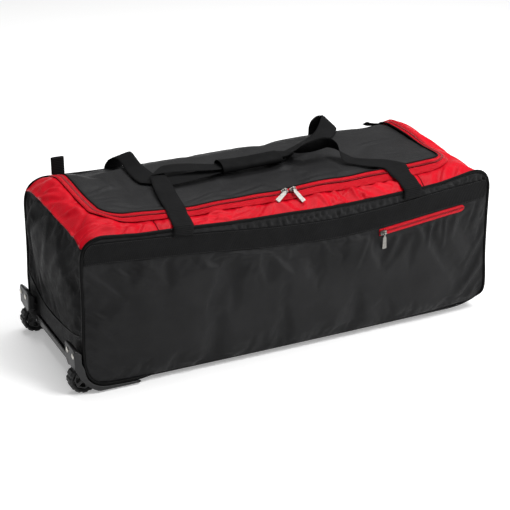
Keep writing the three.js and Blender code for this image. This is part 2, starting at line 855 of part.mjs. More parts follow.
// Pairs of inner and outer places round one end of the gusset
function gussetEnd(end, seamX, frontX) {
  const centre = LID_HALF_LENGTH - LID_CORNER;
  const cornerY = LID_FRONT_Y + LID_CORNER;
  const straight = [WRAP_EDGE - GAP, 145, 110, 60, 0, cornerY];
  const pairs = straight.map((y) => [
    [end * (LID_HALF_LENGTH + GUSSET_START), y],
    [seamX, y],
  ]);
  const reach = LID_CORNER + GUSSET_START;
  steps(0, 1, 8).slice(1).forEach((part) => {
    const angle = part * Math.PI / 2;
    const inner = [end * (centre + reach * Math.cos(angle)), cornerY - reach * Math.sin(angle)];
    const outer = part <= 0.5
      ? [seamX, mix(cornerY, -WRAP_EDGE, part * 2)]
      : [mix(seamX, end * centre, part * 2 - 1), -WRAP_EDGE];
    pairs.push([inner, outer]);
  });
  steps(end * centre, frontX, 2).slice(1).forEach((x) => pairs.push([[x, frontInner], [x, -WRAP_EDGE]]));
  return pairs;
}

function gussetEndSheet(end, seamX, frontX) {
  const pairs = gussetEnd(end, seamX, frontX);
  return sheet(
    (index, part) => {
      const [inner, outer] = pairs[index];
      return roofPlace(mix(inner[0], outer[0], part), mix(inner[1], outer[1], part));
    },
    pairs.map((pair, index) => index),
    [0, 0.3, 0.65, 1],
    CLOTH,
    1.2,
  );
}

add('gusset_wheel_end', gussetEndSheet(-1, WHEEL_SEAM_X, FRONT_SEAM_LEFT - GAP), RED_CLOTH);
add('gusset_far_end', gussetEndSheet(1, FAR_SEAM_X, FRONT_SEAM_RIGHT + GAP), RED_CLOTH);

// Webbing bands
function bandSheet(side, upper) {
  const low = WHEEL_EDGE_X + SEAM_INSET + 2;
  const high = FAR_EDGE_X - SEAM_INSET - 2;
  return sheet(
    (x, part) => {
      const top = Math.min(upper(x), insetTop(x, WALL_INSET, side) - 1);
      return wallAt(x, mix(upper(x) - BAND_WIDTH, top, part), side, GAP + BAND_THICK);
    },
    [low, low + 5, low + 14, low + 30, ...steps(-370, 370, 16), high - 30, high - 14, high - 5, high],
    [0, 1],
    BAND_THICK,
    0,
  );
}

add('front_band', bandSheet(-1, bandTop), BLACK_WEB);
add('back_band', bandSheet(1, (x) => mix(backTop(x), 312, 0.7) - 17), BLACK_WEB);

// Handles
function ground(x, y) {
  if (y < -WRAP_EDGE) {
    return wallTop(x);
  }
  if (y > WRAP_EDGE) {
    return backTop(x);
  }
  return roofHeight(x, y);
}

function handleEdge(rows, first) {
  const points = rows.map((row) => {
    const [x, y, lift] = row.slice(first, first + 3);
    return new THREE.Vector3(x, y, ground(x, y) + lift);
  });
  const curve = new THREE.CatmullRomCurve3(points, false, 'centripetal');
  return curve.getPoints((rows.length - 1) * 2);
}

function handleStrap(rows) {
  return strap(handleEdge(rows, 0), handleEdge(rows, 3), STRAP_THICK);
}

add('front_handle', handleStrap(FRONT_HANDLE_ROWS), BLACK_WEB);
add('back_handle', handleStrap(BACK_HANDLE_ROWS), BLACK_WEB);

// Wrap round both handles
const WRAP_ENDS = [[-84, 15], [51, 23.2]];
const WRAP_LIFT = 12.4;

function wrapPlace(end, angle, inset) {
  const [x, y] = WRAP_ENDS[end];
  const across = Math.cos(angle);
  const up = Math.sin(angle);
  const size = (across ** 4 + up ** 4) ** 0.25;
  return new THREE.Vector3(
    x,
    y + ((WRAP_HALF_WIDTH - inset) * across) / size,
    ground(x, y) + WRAP_LIFT + ((WRAP_HALF_HEIGHT - inset) * up) / size,
  );
}

const wrapTurns = steps(0, Math.PI * 2, 20).slice(0, -1);
add('handle_wrap', sweep(wrapTurns.map((angle) => [
  wrapPlace(0, angle, 0),
  wrapPlace(1, angle, 0),
  wrapPlace(1, angle, WRAP_WALL),
  wrapPlace(0, angle, WRAP_WALL),
]), true), BLACK_WEB);

// Tabs at the ends of the lid zip
const TAB_LEFT_X = -386;
const TAB_TOP = 364;
const TAB_FRONT_Y = 150.5;
const TAB_BEND = 2.6;

function tabEdge(x) {
  const leftFoot = ground(TAB_LEFT_X, TAB_FRONT_Y);
  const rightFoot = ground(TAB_LEFT_X + TAB_WIDTH, TAB_FRONT_Y);
  const foot = Math.max(leftFoot, rightFoot) - 0.1;
  const line = [
    new THREE.Vector3(x, TAB_FRONT_Y, foot),
    new THREE.Vector3(x, TAB_FRONT_Y, mix(foot, TAB_TOP, 0.6)),
  ];
  steps(Math.PI, 0, 6).forEach((angle) => {
    const y = TAB_FRONT_Y + TAB_BEND + TAB_BEND * Math.cos(angle);
    line.push(new THREE.Vector3(x, y, TAB_TOP + TAB_BEND * Math.sin(angle)));
  });
  line.push(new THREE.Vector3(x, TAB_FRONT_Y + TAB_BEND * 2, foot));
  return line;
}

add('wheel_end_tab', strap(tabEdge(TAB_LEFT_X), tabEdge(TAB_LEFT_X + TAB_WIDTH), STRAP_THICK), BLACK_WEB);

// Columns: along, lift of the near edge, lift of the back edge
const FAR_TAB_ROWS = [
  [366, 2.6, 3.4],
  [356, 2.8, 3.6],
  [344, 3.6, 4.6],
  [332, 5.5, 7],
  [322, 9, 12],
];
function farTabEdge(y, lift) {
  return FAR_TAB_ROWS.map((row) => new THREE.Vector3(row[0], y, ground(row[0], y) + row[lift]));
}

add('far_end_tab', strap(farTabEdge(136, 1), farTabEdge(157, 2), STRAP_THICK), BLACK_WEB);

// Zip on the front wall
const POCKET_LEFT_X = 180;
const POCKET_RIGHT_X = 380;
const POCKET_HALF = 7.3;
const pocketMiddle = (x) => mix(227, 245, (x - 187) / (374 - 187));

function pocketHalf(x) {
  const past = Math.max(x - (POCKET_RIGHT_X - POCKET_HALF), 0);
  return Math.sqrt(Math.max(POCKET_HALF * POCKET_HALF - past * past, 1));
}

const pocketRound = [376, 378.2, 379.6, POCKET_RIGHT_X];
const pocketAlong = [...steps(POCKET_LEFT_X, POCKET_RIGHT_X - POCKET_HALF, 8), ...pocketRound];
add('pocket_zip_tape', sheet(
  (x, part) => {
    const coil = Math.abs(part) < 0.5 ? 1 : 0;
    return wallAt(x, pocketMiddle(x) + part * pocketHalf(x), -1, GAP + 1.4 + coil);
  },
  pocketAlong,
  [-1, -0.45, 0.45, 1],
  1.4,
  0,
), RED_TAPE);

// Sliders and pulls, drawn with the zip along X and the cloth below
const SLIDER_OUTLINE = [[-6.5, -3.2], [-2, -4.6], [6.5, -4.2], [6.5, 4.2], [-2, 4.6], [-6.5, 3.2]];
const SLIDER_TOP = 4;
const BAR_HEIGHT = 7.7;
const BAR_HALF = 0.9;
const BRIDGE_HALF = 5;
const PULL_EYE = 1.7;
const PULL_RING = 3.2;
const PULL_LENGTH = 35;
const PULL_THICK = 1.7;

function flat(outline, low, high) {
  const shape = new THREE.Shape(outline.map(([x, y]) => new THREE.Vector2(x, y)));
  const geometry = new THREE.ExtrudeGeometry(shape, { depth: high - low, bevelEnabled: false });
  geometry.translate(0, 0, low);
  return geometry;
}

function sliderSolid() {
  const body = flat(SLIDER_OUTLINE, 0, SLIDER_TOP);
  const bridge = block(
    new THREE.Vector3(-BRIDGE_HALF, -BAR_HALF, SLIDER_TOP - 1),
    new THREE.Vector3(BRIDGE_HALF, BAR_HALF, BAR_HEIGHT + BAR_HALF),
  );
  const window = block(
    new THREE.Vector3(-BRIDGE_HALF + 1.4, -5, SLIDER_TOP),
    new THREE.Vector3(BRIDGE_HALF - 1.4, 5, BAR_HEIGHT - BAR_HALF),
  );
  return cutFrom(toSolid(bridge), [window]).add(toSolid(body));
}

// Columns: half width, distance from the bar
const PULL_ROWS = [
  [1.5, 2.3],
  [1.5, 6],
  [3.6, 9],
  [4.6, PULL_LENGTH - 1],
  [3.6, PULL_LENGTH],
];

function pullSolid(splay) {
  const turn = (x, y) => {
    const bend = y < -5.5 ? splay : 0;
    const away = y + 5.5;
    return bend === 0 ? [x, y] : [
      x * Math.cos(bend) - away * Math.sin(bend),
      x * Math.sin(bend) + away * Math.cos(bend) - 5.5,
    ];
  };
  const left = PULL_ROWS.map(([half, away]) => turn(-half, -away));
  const right = PULL_ROWS.map(([half, away]) => turn(half, -away)).reverse();
  const tab = flat([...left, ...right], -PULL_THICK / 2, PULL_THICK / 2);
  const ring = new THREE.CylinderGeometry(PULL_RING, PULL_RING, 2, 12);
  ring.rotateZ(Math.PI / 2);
  const eye = new THREE.CylinderGeometry(PULL_EYE, PULL_EYE, 8, 10);
  eye.rotateZ(Math.PI / 2);
  return cutFrom(joined([ring, tab]), [eye]);
}

function placed(solid, origin, along, up) {
  const across = up.clone().cross(along).normalize();
  const square = along.clone().cross(across).normalize();
  const geometry = fromSolid(solid);
  const matrix = new THREE.Matrix4().makeBasis(along, across, square).setPosition(origin);
  geometry.applyMatrix4(matrix);
  return geometry;
}

// Puts a slider on the cloth and its pull from the bar towards a resting place
function zipPair(sliderName, pullName, seat, along, up, restPlace, splay) {
  const bar = seat.clone().addScaledVector(up, BAR_HEIGHT);
  const down = restPlace.clone().sub(bar);
  down.addScaledVector(along, -down.dot(along)).normalize();
  const pullUp = along.clone().cross(down.clone().negate()).normalize();
  add(sliderName, placed(sliderSolid(), seat, along, up), BRIGHT_METAL);
  add(pullName, placed(pullSolid(splay), bar, along, pullUp), BRIGHT_METAL);
}

const COIL_Y = LID_FRONT_Y - COIL_AT;

function lidPair(sliderName, pullName, x, facing, splay) {
  const before = roofPlace(x, COIL_Y - 6);
  const after = roofPlace(x, COIL_Y + 6);
  const along = roofPlace(x + 8, COIL_Y).sub(roofPlace(x - 8, COIL_Y)).normalize();
  const up = along.clone().cross(after.sub(before)).normalize();
  const seat = roofPlace(x, COIL_Y).addScaledVector(up, COIL_RISE + GAP);
  const rest = roofPlace(x, COIL_Y - 30);
  rest.z += 3.4;
  zipPair(sliderName, pullName, seat, along, up, rest, splay);
}

lidPair('lid_slider_left', 'lid_pull_left', -6, 1, -1);
lidPair('lid_slider_right', 'lid_pull_right', 12, -1, 0.35);
const POCKET_PULL_X = 187;
const pocketUp = new THREE.Vector3(0, -1, 0);
const pocketAlongZip = new THREE.Vector3(187, 0, 18).normalize();
const pocketSeat = wallAt(POCKET_PULL_X, pocketMiddle(POCKET_PULL_X), -1, GAP * 2 + 2.4);
const pocketRest = wallAt(POCKET_PULL_X, pocketMiddle(POCKET_PULL_X) - 34, -1, 3.2);
zipPair('pocket_slider', 'pocket_pull', pocketSeat, pocketAlongZip, pocketUp, pocketRest, 0);

// Corner guards with wheel wells
function guardInner(x) {
  const reach = 3.7;
  return Math.min(...steps(-reach, reach, 16).map((shift) => {
    const place = Math.max(x + shift, WHEEL_EDGE_X);
    return wallBottom(place) - Math.sqrt(Math.max(reach * reach - (place - x) ** 2, 0));
  }));
}

// The leg of a guard runs from its face to the skid in a curve that is nearly straight in the middle
const BEND_WIDE = 49;
const BEND_TALL = 62;
const BEND_POWER = 4 / 3;
const GUARD_FRONT_TOP = 99;
const SKID_FOOT = 8;
const guardBend = steps(0, Math.PI / 2, 8).map((angle) => [
  GUARD_FACE_X + BEND_WIDE * (1 - Math.cos(angle) ** BEND_POWER),
  SKID_FOOT + BEND_TALL * (1 - Math.sin(angle) ** BEND_POWER),
]);
const guardStrip = [
  [GUARD_FACE_X, GUARD_FRONT_TOP],
  ...guardBend,
  [SKID_END_X - 4, SKID_FOOT],
  [SKID_END_X, SKID_FOOT + 2.5],
  [SKID_END_X - 5, 13],
  ...[-373, -400, -415, -428, -437, -441, -444].map((x) => [x, guardInner(x)]),
  [GUARD_BACK_X, 72],
  [GUARD_BACK_X, GUARD_FRONT_TOP],
];
// The top of a guard falls from its face towards the cloth
const guardLean = [[GUARD_FACE_X + 1.5, 105], [GUARD_BACK_X + 1, 105], [GUARD_BACK_X + 1, 91]];
const guardFill = [
  [GUARD_FACE_X, GUARD_FRONT_TOP],
  ...guardBend,
  [-402, SKID_FOOT],
  [-402, GUARD_FRONT_TOP],
];

function guardSolid(side) {
  const low = (near, far) => Math.min(side * near, side * far);
  const high = (near, far) => Math.max(side * near, side * far);
  const strip = slab(guardStrip, low(GUARD_OUTER_Y, 162), high(GUARD_OUTER_Y, 162));
  const face = plate([
    [side * GUARD_OUTER_Y, 64],
    [side * GUARD_OUTER_Y, GUARD_FRONT_TOP],
    [side * (GUARD_OUTER_Y - 5), GUARD_TOP - 1],
    [side * (GUARD_INNER_Y + 6), GUARD_TOP],
    [side * GUARD_INNER_Y, GUARD_TOP - 6],
    [side * (GUARD_INNER_Y + 3), 64],
    [side * 126, 56],
  ], GUARD_FACE_X, GUARD_BACK_X);
  const shell = toSolid(rod(WELL_SHELL, low(162, 126), high(162, 126), WHEEL_X, WHEEL_Z, 28));
  const clip = toSolid(slab(guardFill, low(162, 126), high(162, 126)));
  const well = rod(WELL_RADIUS, side * 159.5, side * 130, WHEEL_X, WHEEL_Z, 28);
  const bore = rod(AXLE_RADIUS + GAP, side * 164.3, side * 120, WHEEL_X, WHEEL_Z, 16);
  const lean = slab(guardLean, low(GUARD_OUTER_Y + 1, GUARD_INNER_Y - 1), high(GUARD_OUTER_Y + 1, GUARD_INNER_Y - 1));
  const whole = joined([strip, face]).add(shell.intersect(clip));
  return fromSolid(cutFrom(whole, [well, bore, lean]));
}

add('wheel_housing_front', guardSolid(-1), DARK_PLASTIC);
add('wheel_housing_back', guardSolid(1), DARK_PLASTIC);

// Rivets, columns: radius, height
const RIVET_ROWS = [[0, 2.3], [2.6, 2], [4.6, 1], [5.4, 0], [0, 0]];

function rivet(y) {
  const profile = RIVET_ROWS.map(([radius, height]) => new THREE.Vector2(radius, height));
  const geometry = new THREE.LatheGeometry(profile.reverse(), 8);
  geometry.rotateZ(Math.PI / 2);
  geometry.translate(GUARD_FACE_X - GAP, y, RIVET_Z);
  return fromSolid(toSolid(geometry));
}

add('rivet_front_outer', rivet(-RIVET_Y[0]), BRIGHT_METAL);
add('rivet_front_inner', rivet(-RIVET_Y[1]), BRIGHT_METAL);
add('rivet_back_outer', rivet(RIVET_Y[0]), BRIGHT_METAL);
add('rivet_back_inner', rivet(RIVET_Y[1]), BRIGHT_METAL);

// Edge trim at the foot of the wheel end
const trimHalf = 108;
const trimOutline = [[-449.2, 42], [-449.2, 53], [-448, 55], [-442.1, 55], [-442.1, 42]];
add('base_edge_trim', slab(trimOutline, -trimHalf, trimHalf), GLOSS_PLASTIC);

// Wheels
function axle(side) {
  return rod(AXLE_RADIUS, side * 164, side * 126.5, WHEEL_X, WHEEL_Z, 12);
}

// Tyre profile, columns: share of the radius kept below the tread, half width
const TYRE_ROWS = [[21, -9.5], [26, -12.5], [30, -9.5], [30, 9.5], [26, 12.5], [21, 9.5]];

function tyre(side) {
  const pitch = (Math.PI * 2) / TREAD_BLOCKS;
  const marks = [[-0.3, 0], [0.3, 0], [0.36, 1], [0.64, 1]];
  const sections = [];
  for (let index = 0; index < TREAD_BLOCKS; index += 1) {
    marks.forEach(([part, groove]) => {
      const angle = -Math.PI / 2 + (index + part) * pitch;
      sections.push(TYRE_ROWS.map(([radius, half]) => {
        const kept = radius === WHEEL_RADIUS ? radius - groove * TREAD_DEPTH : radius;
        return new THREE.Vector3(
          WHEEL_X + kept * Math.cos(angle),
          side * WHEEL_Y + (half * WHEEL_WIDTH) / 25,
          WHEEL_Z + kept * Math.sin(angle),
        );
      }));
    });
  }
  return sweep(sections, true);
}

function hub(side) {
  const shape = new THREE.Shape();
  shape.absarc(0, 0, HUB_RADIUS, 0, Math.PI * 2);
  const bore = new THREE.Path();
  bore.absarc(0, 0, AXLE_RADIUS + GAP, 0, Math.PI * 2);
  shape.holes.push(bore);
  for (let spoke = 0; spoke < 5; spoke += 1) {
    const middle = ((spoke + 0.5) / 5) * Math.PI * 2;
    const opening = new THREE.Path();
    opening.absarc(0, 0, 17, middle - 0.42, middle + 0.42);
    opening.absarc(0, 0, 8.6, middle + 0.3, middle - 0.3, true);
    opening.closePath();
    shape.holes.push(opening);
  }
  const settings = { depth: HUB_WIDTH, bevelEnabled: false, curveSegments: 4 };
  const geometry = new THREE.ExtrudeGeometry(shape, settings);
  geometry.rotateX(Math.PI / 2);
  geometry.translate(WHEEL_X, side * WHEEL_Y + HUB_WIDTH / 2, WHEEL_Z);
  return fromSolid(toSolid(geometry));
}

add('axle_front', axle(-1), STEEL);
add('axle_back', axle(1), STEEL);
add('tyre_front', tyre(-1), RUBBER);
add('tyre_back', tyre(1), RUBBER);
add('hub_front', hub(-1), DARK_PLASTIC);
add('hub_back', hub(1), DARK_PLASTIC);

// The bag stands on the floor with the middle of its outer box over the origin
const outerBox = new THREE.Box3();
bag.children.forEach((mesh) => {
  mesh.geometry.computeBoundingBox();
  outerBox.union(mesh.geometry.boundingBox);
});
const boxMiddle = outerBox.getCenter(new THREE.Vector3());
bag.children.forEach((mesh) => mesh.geometry.translate(-boxMiddle.x, -boxMiddle.y, -outerBox.min.z));

export default bag;
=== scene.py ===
import math

import bpy
import numpy as np
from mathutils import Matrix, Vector
from mathutils.bvhtree import BVHTree


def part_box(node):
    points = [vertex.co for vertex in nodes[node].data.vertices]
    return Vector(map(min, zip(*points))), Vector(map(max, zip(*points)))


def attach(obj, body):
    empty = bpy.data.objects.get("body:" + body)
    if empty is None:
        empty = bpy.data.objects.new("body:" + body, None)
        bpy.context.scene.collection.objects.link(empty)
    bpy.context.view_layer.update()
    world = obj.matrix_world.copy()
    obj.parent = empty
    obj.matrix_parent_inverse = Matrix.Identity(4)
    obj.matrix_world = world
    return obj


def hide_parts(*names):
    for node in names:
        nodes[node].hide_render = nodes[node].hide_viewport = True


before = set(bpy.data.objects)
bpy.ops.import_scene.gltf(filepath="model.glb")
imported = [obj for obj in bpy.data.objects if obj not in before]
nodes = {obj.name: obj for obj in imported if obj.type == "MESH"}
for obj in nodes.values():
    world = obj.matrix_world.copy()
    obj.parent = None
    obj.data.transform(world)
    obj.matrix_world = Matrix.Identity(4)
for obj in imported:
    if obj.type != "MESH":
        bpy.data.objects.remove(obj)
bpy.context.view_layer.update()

# Wheeled kit bag, in metres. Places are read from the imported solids, and lengths are named here.
BAG = "bag"
TURN = 2 * math.pi
TINY = 1e-9
# Millimetres in a metre, and the axes that a long wall, an end and the top lie along
MM = 1000
X, Y, Z = range(3)
WALL_AXES = [X, Z]
END_AXES = [Y, Z]
TOP_AXES = [X, Y]

CLOTH_THICK = 0.0016
TUCK = 0.0022
PIPING_RADIUS = 0.0031
LID_PIPING_RADIUS = 0.0019
KICK_PIPING_RADIUS = 0.0022
LID_CORNER = 0.042
EDGE_STEP = 0.0004
STRAP_THICK = 0.0021
BAND_LIFT = 0.0019
SEAM_MARGIN = 0.0016
COIL_FROM_EDGE = 0.0098
TOOTH_PITCH = 0.0016

# Camera of the photograph
CAMERA_LENS = 106.14
CAMERA_TARGET = Vector((0.00069, 0.00619, 0.1429))
CAMERA_BACK = Vector((-0.3945, -0.8271, 0.4003))
CAMERA_DISTANCE = 3.084

lid_low, lid_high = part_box("lid_panel")
base_low, base_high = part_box("base_panel")
tape_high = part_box("lid_zip_tape")[1]
MIDDLE_X = (lid_low.x + lid_high.x) / 2
MIDDLE_Y = (base_low.y + base_high.y) / 2
MIDDLE_HEIGHT = 0.16
BAG_MIDDLE = np.array([MIDDLE_X, MIDDLE_Y, MIDDLE_HEIGHT])


# Reading of the solids
def shape_of(name):
    mesh = nodes[name].data
    mesh.calc_loop_triangles()
    points = np.array([vertex.co for vertex in mesh.vertices])
    triangles = np.array([triangle.vertices for triangle in mesh.loop_triangles])
    return points, triangles


def tree_of(names):
    points = []
    faces = []
    for name in names:
        own_points, triangles = shape_of(name)
        faces.extend((triangles + len(points)).tolist())
        points.extend(own_points.tolist())
    return BVHTree.FromPolygons(points, faces)


def filled(values):
    """Gaps in a grid of numbers, filled from what lies round them."""
    values = values.copy()
    while np.isnan(values).any():
        known = ~np.isnan(values)
        held = np.pad(np.where(known, values, 0), 1)
        count = np.pad(known.astype(float), 1)
        total = held[2:, 1:-1] + held[:-2, 1:-1] + held[1:-1, 2:] + held[1:-1, :-2]
        near = count[2:, 1:-1] + count[:-2, 1:-1] + count[1:-1, 2:] + count[1:-1, :-2]
        mend = ~known & (near > 0)
        values[mend] = total[mend] / near[mend]
    return values


def blurred(values, passes):
    for _ in range(passes):
        held = np.pad(values, 1, mode="edge")
        values = (held[2:, 1:-1] + 2 * values + held[:-2, 1:-1]) / 4
        held = np.pad(values, 1, mode="edge")
        values = (held[1:-1, 2:] + 2 * values + held[1:-1, :-2]) / 4
    return values


RELIEF_STEP = 0.004
RELIEF_PASSES = 3
RAY_START = 2
LAST_CELL = 1.001


class Relief:
    """Outer face of some solids as a smooth depth over two of the axes."""

    def __init__(self, names, depth, side):
        self.axes = [axis for axis in range(3) if axis != depth]
        corners = [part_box(name) for name in names]
        self.low = np.array([min(low[axis] for low, high in corners) for axis in self.axes])
        far = np.array([max(high[axis] for low, high in corners) for axis in self.axes])
        count = np.ceil((far - self.low) / RELIEF_STEP).astype(int) + 1
        tree = tree_of(names)
        ray = Vector((0, 0, 0))
        ray[depth] = -side
        values = np.full(count, np.nan)
        for i in range(count[0]):
            for j in range(count[1]):
                place = Vector((0, 0, 0))
                place[self.axes[0]] = self.low[0] + i * RELIEF_STEP
                place[self.axes[1]] = self.low[1] + j * RELIEF_STEP
                place[depth] = RAY_START * side
                hit = tree.ray_cast(place, ray)[0]
                if hit is not None:
                    values[i, j] = hit[depth]
        self.values = blurred(filled(values), RELIEF_PASSES)

    def at(self, a, b):
        grid = self.values
        i = np.clip((np.asarray(a) - self.low[0]) / RELIEF_STEP, 0, grid.shape[0] - LAST_CELL)
        j = np.clip((np.asarray(b) - self.low[1]) / RELIEF_STEP, 0, grid.shape[1] - LAST_CELL)
        left = np.floor(i).astype(int)
        under = np.floor(j).astype(int)
        part_i = i - left
        part_j = j - under
        low = grid[left, under] * (1 - part_i) + grid[left + 1, under] * part_i
        high = grid[left, under + 1] * (1 - part_i) + grid[left + 1, under + 1] * part_i
        return low * (1 - part_j) + high * part_j


def edges_seen(name, axes):
    points, triangles = shape_of(name)
    flat = points[:, axes]
    starts = flat[triangles].reshape(-1, 2)
    ends = flat[np.roll(triangles, -1, axis=1)].reshape(-1, 2)
    return starts, ends


OUTLINE_TURNS = 1440


def outline_reach(name, axes, middle):
    """Distance from a middle point to the edge of a solid, at even angles, seen along one axis."""
    starts, ends = edges_seen(name, axes)
    starts = starts - middle
    ends = ends - middle
    reach = []
    for turn in range(OUTLINE_TURNS):
        angle = turn / OUTLINE_TURNS * TURN
        ahead = np.array([math.cos(angle), math.sin(angle)])
        across = np.array([-math.sin(angle), math.cos(angle)])
        first = starts @ across
        second = ends @ across
        cut = (first > 0) != (second > 0)
        part = first[cut] / (first[cut] - second[cut])
        reach.append((starts[cut] @ ahead * (1 - part) + ends[cut] @ ahead * part).max())
    return np.array(reach)


def reach_at(reach, angles):
    marks = np.arange(OUTLINE_TURNS) / OUTLINE_TURNS * TURN
    return np.interp(np.mod(angles, TURN), marks, reach, period=TURN)


def spans(name, axes, stations):
    """Lowest and highest edge of a solid at stations along one axis, seen along another."""
    starts, ends = edges_seen(name, axes)
    lows = []
    highs = []
    for station in stations:
        first = starts[:, 0] - station
        second = ends[:, 0] - station
        cut = (first > 0) != (second > 0)
        part = first[cut] / (first[cut] - second[cut])
        heights = starts[cut, 1] * (1 - part) + ends[cut, 1] * part
        lows.append(heights.min())
        highs.append(heights.max())
    return np.array(lows), np.array(highs)


def edge_run(node, count, margin=EDGE_STEP):
    """Stations along a strip on a long wall, with its lower and upper edge at each of them."""
    low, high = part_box(node)
    stations = np.linspace(low.x + margin, high.x - margin, count)
    lows, highs = spans(node, WALL_AXES, stations)
    return stations, lows, highs


def columns(stations, lows, rises, parts):
    """A grid with a column at each station, at parts of its rise from its low edge."""
    along = np.repeat(np.asarray(stations)[:, None], len(parts), axis=1)
    return along, lows[:, None] + rises[:, None] * parts[None, :]


roof = Relief(["lid_panel", "gusset_front", "gusset_wheel_end", "gusset_far_end"], Z, 1)
front = Relief(["front_panel"], Y, -1)
back = Relief(["back_panel"], Y, 1)
wheel_end = Relief(["wheel_end_panel", "kick_panel"], X, -1)
far_end = Relief(["far_end_panel"], X, 1)
underside = Relief(["base_panel"], Z, -1)


# Meshes
def mesh_object(name, points, faces, uvs=None):
    mesh = bpy.data.meshes.new(name)
    mesh.from_pydata(np.asarray(points).tolist(), [], [list(face) for face in faces])
    if uvs is not None:
        layer = mesh.uv_layers.new(name="cloth")
        corners = np.zeros(len(mesh.loops), int)
        mesh.loops.foreach_get("vertex_index", corners)
        layer.data.foreach_set("uv", np.asarray(uvs)[corners].astype(np.float32).ravel())
    mesh.polygons.foreach_set("use_smooth", [True] * len(mesh.polygons))
    mesh.update()
    piece = bpy.data.objects.new(name, mesh)
    bpy.context.scene.collection.objects.link(piece)
    return piece


def grid_faces(wide, tall):
    index = np.arange(wide * tall).reshape(wide, tall)
    corners = [index[:-1, :-1], index[1:, :-1], index[1:, 1:], index[:-1, 1:]]
    return np.stack(corners, axis=-1).reshape(-1, 4)


def grid_object(name, places):
    """A sheet through a grid of places, facing away from the middle of the bag."""
    wide, tall = places.shape[:2]
    points = places.reshape(-1, 3)
    faces = grid_faces(wide, tall)
    sides = [points[faces[:, k]] for k in range(4)]
    normals = np.cross(sides[2] - sides[0], sides[3] - sides[1])
    centres = sum(sides) / 4
    if np.sum(normals * (centres - BAG_MIDDLE)) < 0:
        faces = faces[:, ::-1]
    lengths = np.linalg.norm(np.diff(places, axis=0), axis=2)
    heights = np.linalg.norm(np.diff(places, axis=1), axis=2)
    along = np.concatenate([np.zeros((1, tall)), np.cumsum(lengths, axis=0)])
    up = np.concatenate([np.zeros((wide, 1)), np.cumsum(heights, axis=1)], axis=1)
    uvs = np.stack([along, up], axis=-1).reshape(-1, 2)
    return mesh_object(name, points, faces, uvs)


def tube_object(name, sections, closed, uvs=None):
    """A skin through matching closed sections, capped unless the run closes on itself."""
    count, size = sections.shape[:2]
    faces = []
    runs = count if closed else count - 1
    for run in range(runs):
        here = run * size
        following = (run + 1) % count * size
        for side in range(size):
            other = (side + 1) % size
            faces.append((here + side, here + other, following + other, following + side))
    if not closed:
        faces.append(tuple(reversed(range(size))))
        faces.append(tuple(range((count - 1) * size, count * size)))
    return mesh_object(name, sections.reshape(-1, 3), faces, uvs)


def directions_of(path, closed=False):
    if closed:
        ahead = np.roll(path, -1, axis=0) - np.roll(path, 1, axis=0)
    else:
        ahead = np.gradient(path, axis=0)
    return ahead / np.linalg.norm(ahead, axis=1)[:, None]


def unit(vectors):
    return vectors / np.maximum(np.linalg.norm(vectors, axis=-1, keepdims=True), TINY)


def cord_sections(path, radius, sides, closed, towards):
    ahead = directions_of(path, closed)
    side = unit(np.cross(np.broadcast_to(towards, path.shape), ahead))
    up = np.cross(ahead, side)
    angles = (np.arange(sides) + 0.5) / sides * TURN
    turned = np.stack([np.cos(angles), np.sin(angles)])[:, None, :, None]
    rounds = side[:, None] * turned[0] + up[:, None] * turned[1]
    return path[:, None] + rounds * radius


def cord_object(name, path, radius, sides, closed, towards):
    return tube_object(name, cord_sections(path, radius, sides, closed, towards), closed)


def resampled(line, marks, at):
    """Places along a line, read off at other marks."""
    return np.stack([np.interp(at, marks, line[:, k]) for k in range(line.shape[1])], axis=1)


LEAST_POINTS = 4


def even_path(points, step, closed=False):
    """The same line with points at even distances."""
    line = np.concatenate([points, points[:1]]) if closed else points
    along = np.concatenate([[0], np.cumsum(np.linalg.norm(np.diff(line, axis=0), axis=1))])
    count = max(int(round(along[-1] / step)), LEAST_POINTS)
    at = np.linspace(0, along[-1], count + 1)
    if closed:
        at = at[:-1]
    return resampled(line, along, at)


def softened(path, passes, closed=False):
    for _ in range(passes):
        if closed:
            path = (np.roll(path, 1, axis=0) + 2 * path + np.roll(path, -1, axis=0)) / 4
        else:
            inner = (path[:-2] + 2 * path[1:-1] + path[2:]) / 4
            path = np.concatenate([path[:1], inner, path[-1:]])
    return path


# Materials
def add_node(tree, kind, **inputs):
    made = tree.nodes.new(kind)
    for name, value in inputs.items():
        made.inputs[name.replace("_", " ")].default_value = value
    return made


def blank(name, color, roughness, gloss=0.5, metallic=0.0):
    material = bpy.data.materials.new(name)
    material.use_nodes = True
    tree = material.node_tree
    shader = tree.nodes["Principled BSDF"]
    shader.inputs["Base Color"].default_value = (*color, 1)
    shader.inputs["Roughness"].default_value = roughness
    shader.inputs["Specular IOR Level"].default_value = gloss
    shader.inputs["Metallic"].default_value = metallic
    return material, tree, shader


def object_places(tree):
    return tree.nodes.new("ShaderNodeTexCoord").outputs["Object"]


def cloth_places(tree):
    made = tree.nodes.new("ShaderNodeUVMap")
    made.uv_map = "cloth"
    return made.outputs["UV"]


WAVE_PERIOD = 0.31416


def wave(tree, places, direction, pitch):
    made = add_node(tree, "ShaderNodeTexWave", Scale=WAVE_PERIOD / pitch)
    made.bands_direction = direction
    tree.links.new(places, made.inputs["Vector"])
    return made.outputs["Fac"]


def noise(tree, places, scale, detail=3.0, roughness=0.5):
    made = add_node(tree, "ShaderNodeTexNoise", Scale=scale, Detail=detail, Roughness=roughness)
    tree.links.new(places, made.inputs["Vector"])
    return made.outputs["Fac"]


def calc(tree, operation, first, second):
    made = tree.nodes.new("ShaderNodeMath")
    made.operation = operation
    for socket, value in zip(made.inputs, (first, second)):
        if isinstance(value, float):
            socket.default_value = value
        else:
            tree.links.new(value, socket)
    return made.outputs["Value"]


# Values that most of a noise lies between
NOISE_LOW = 0.3
NOISE_HIGH = 0.7


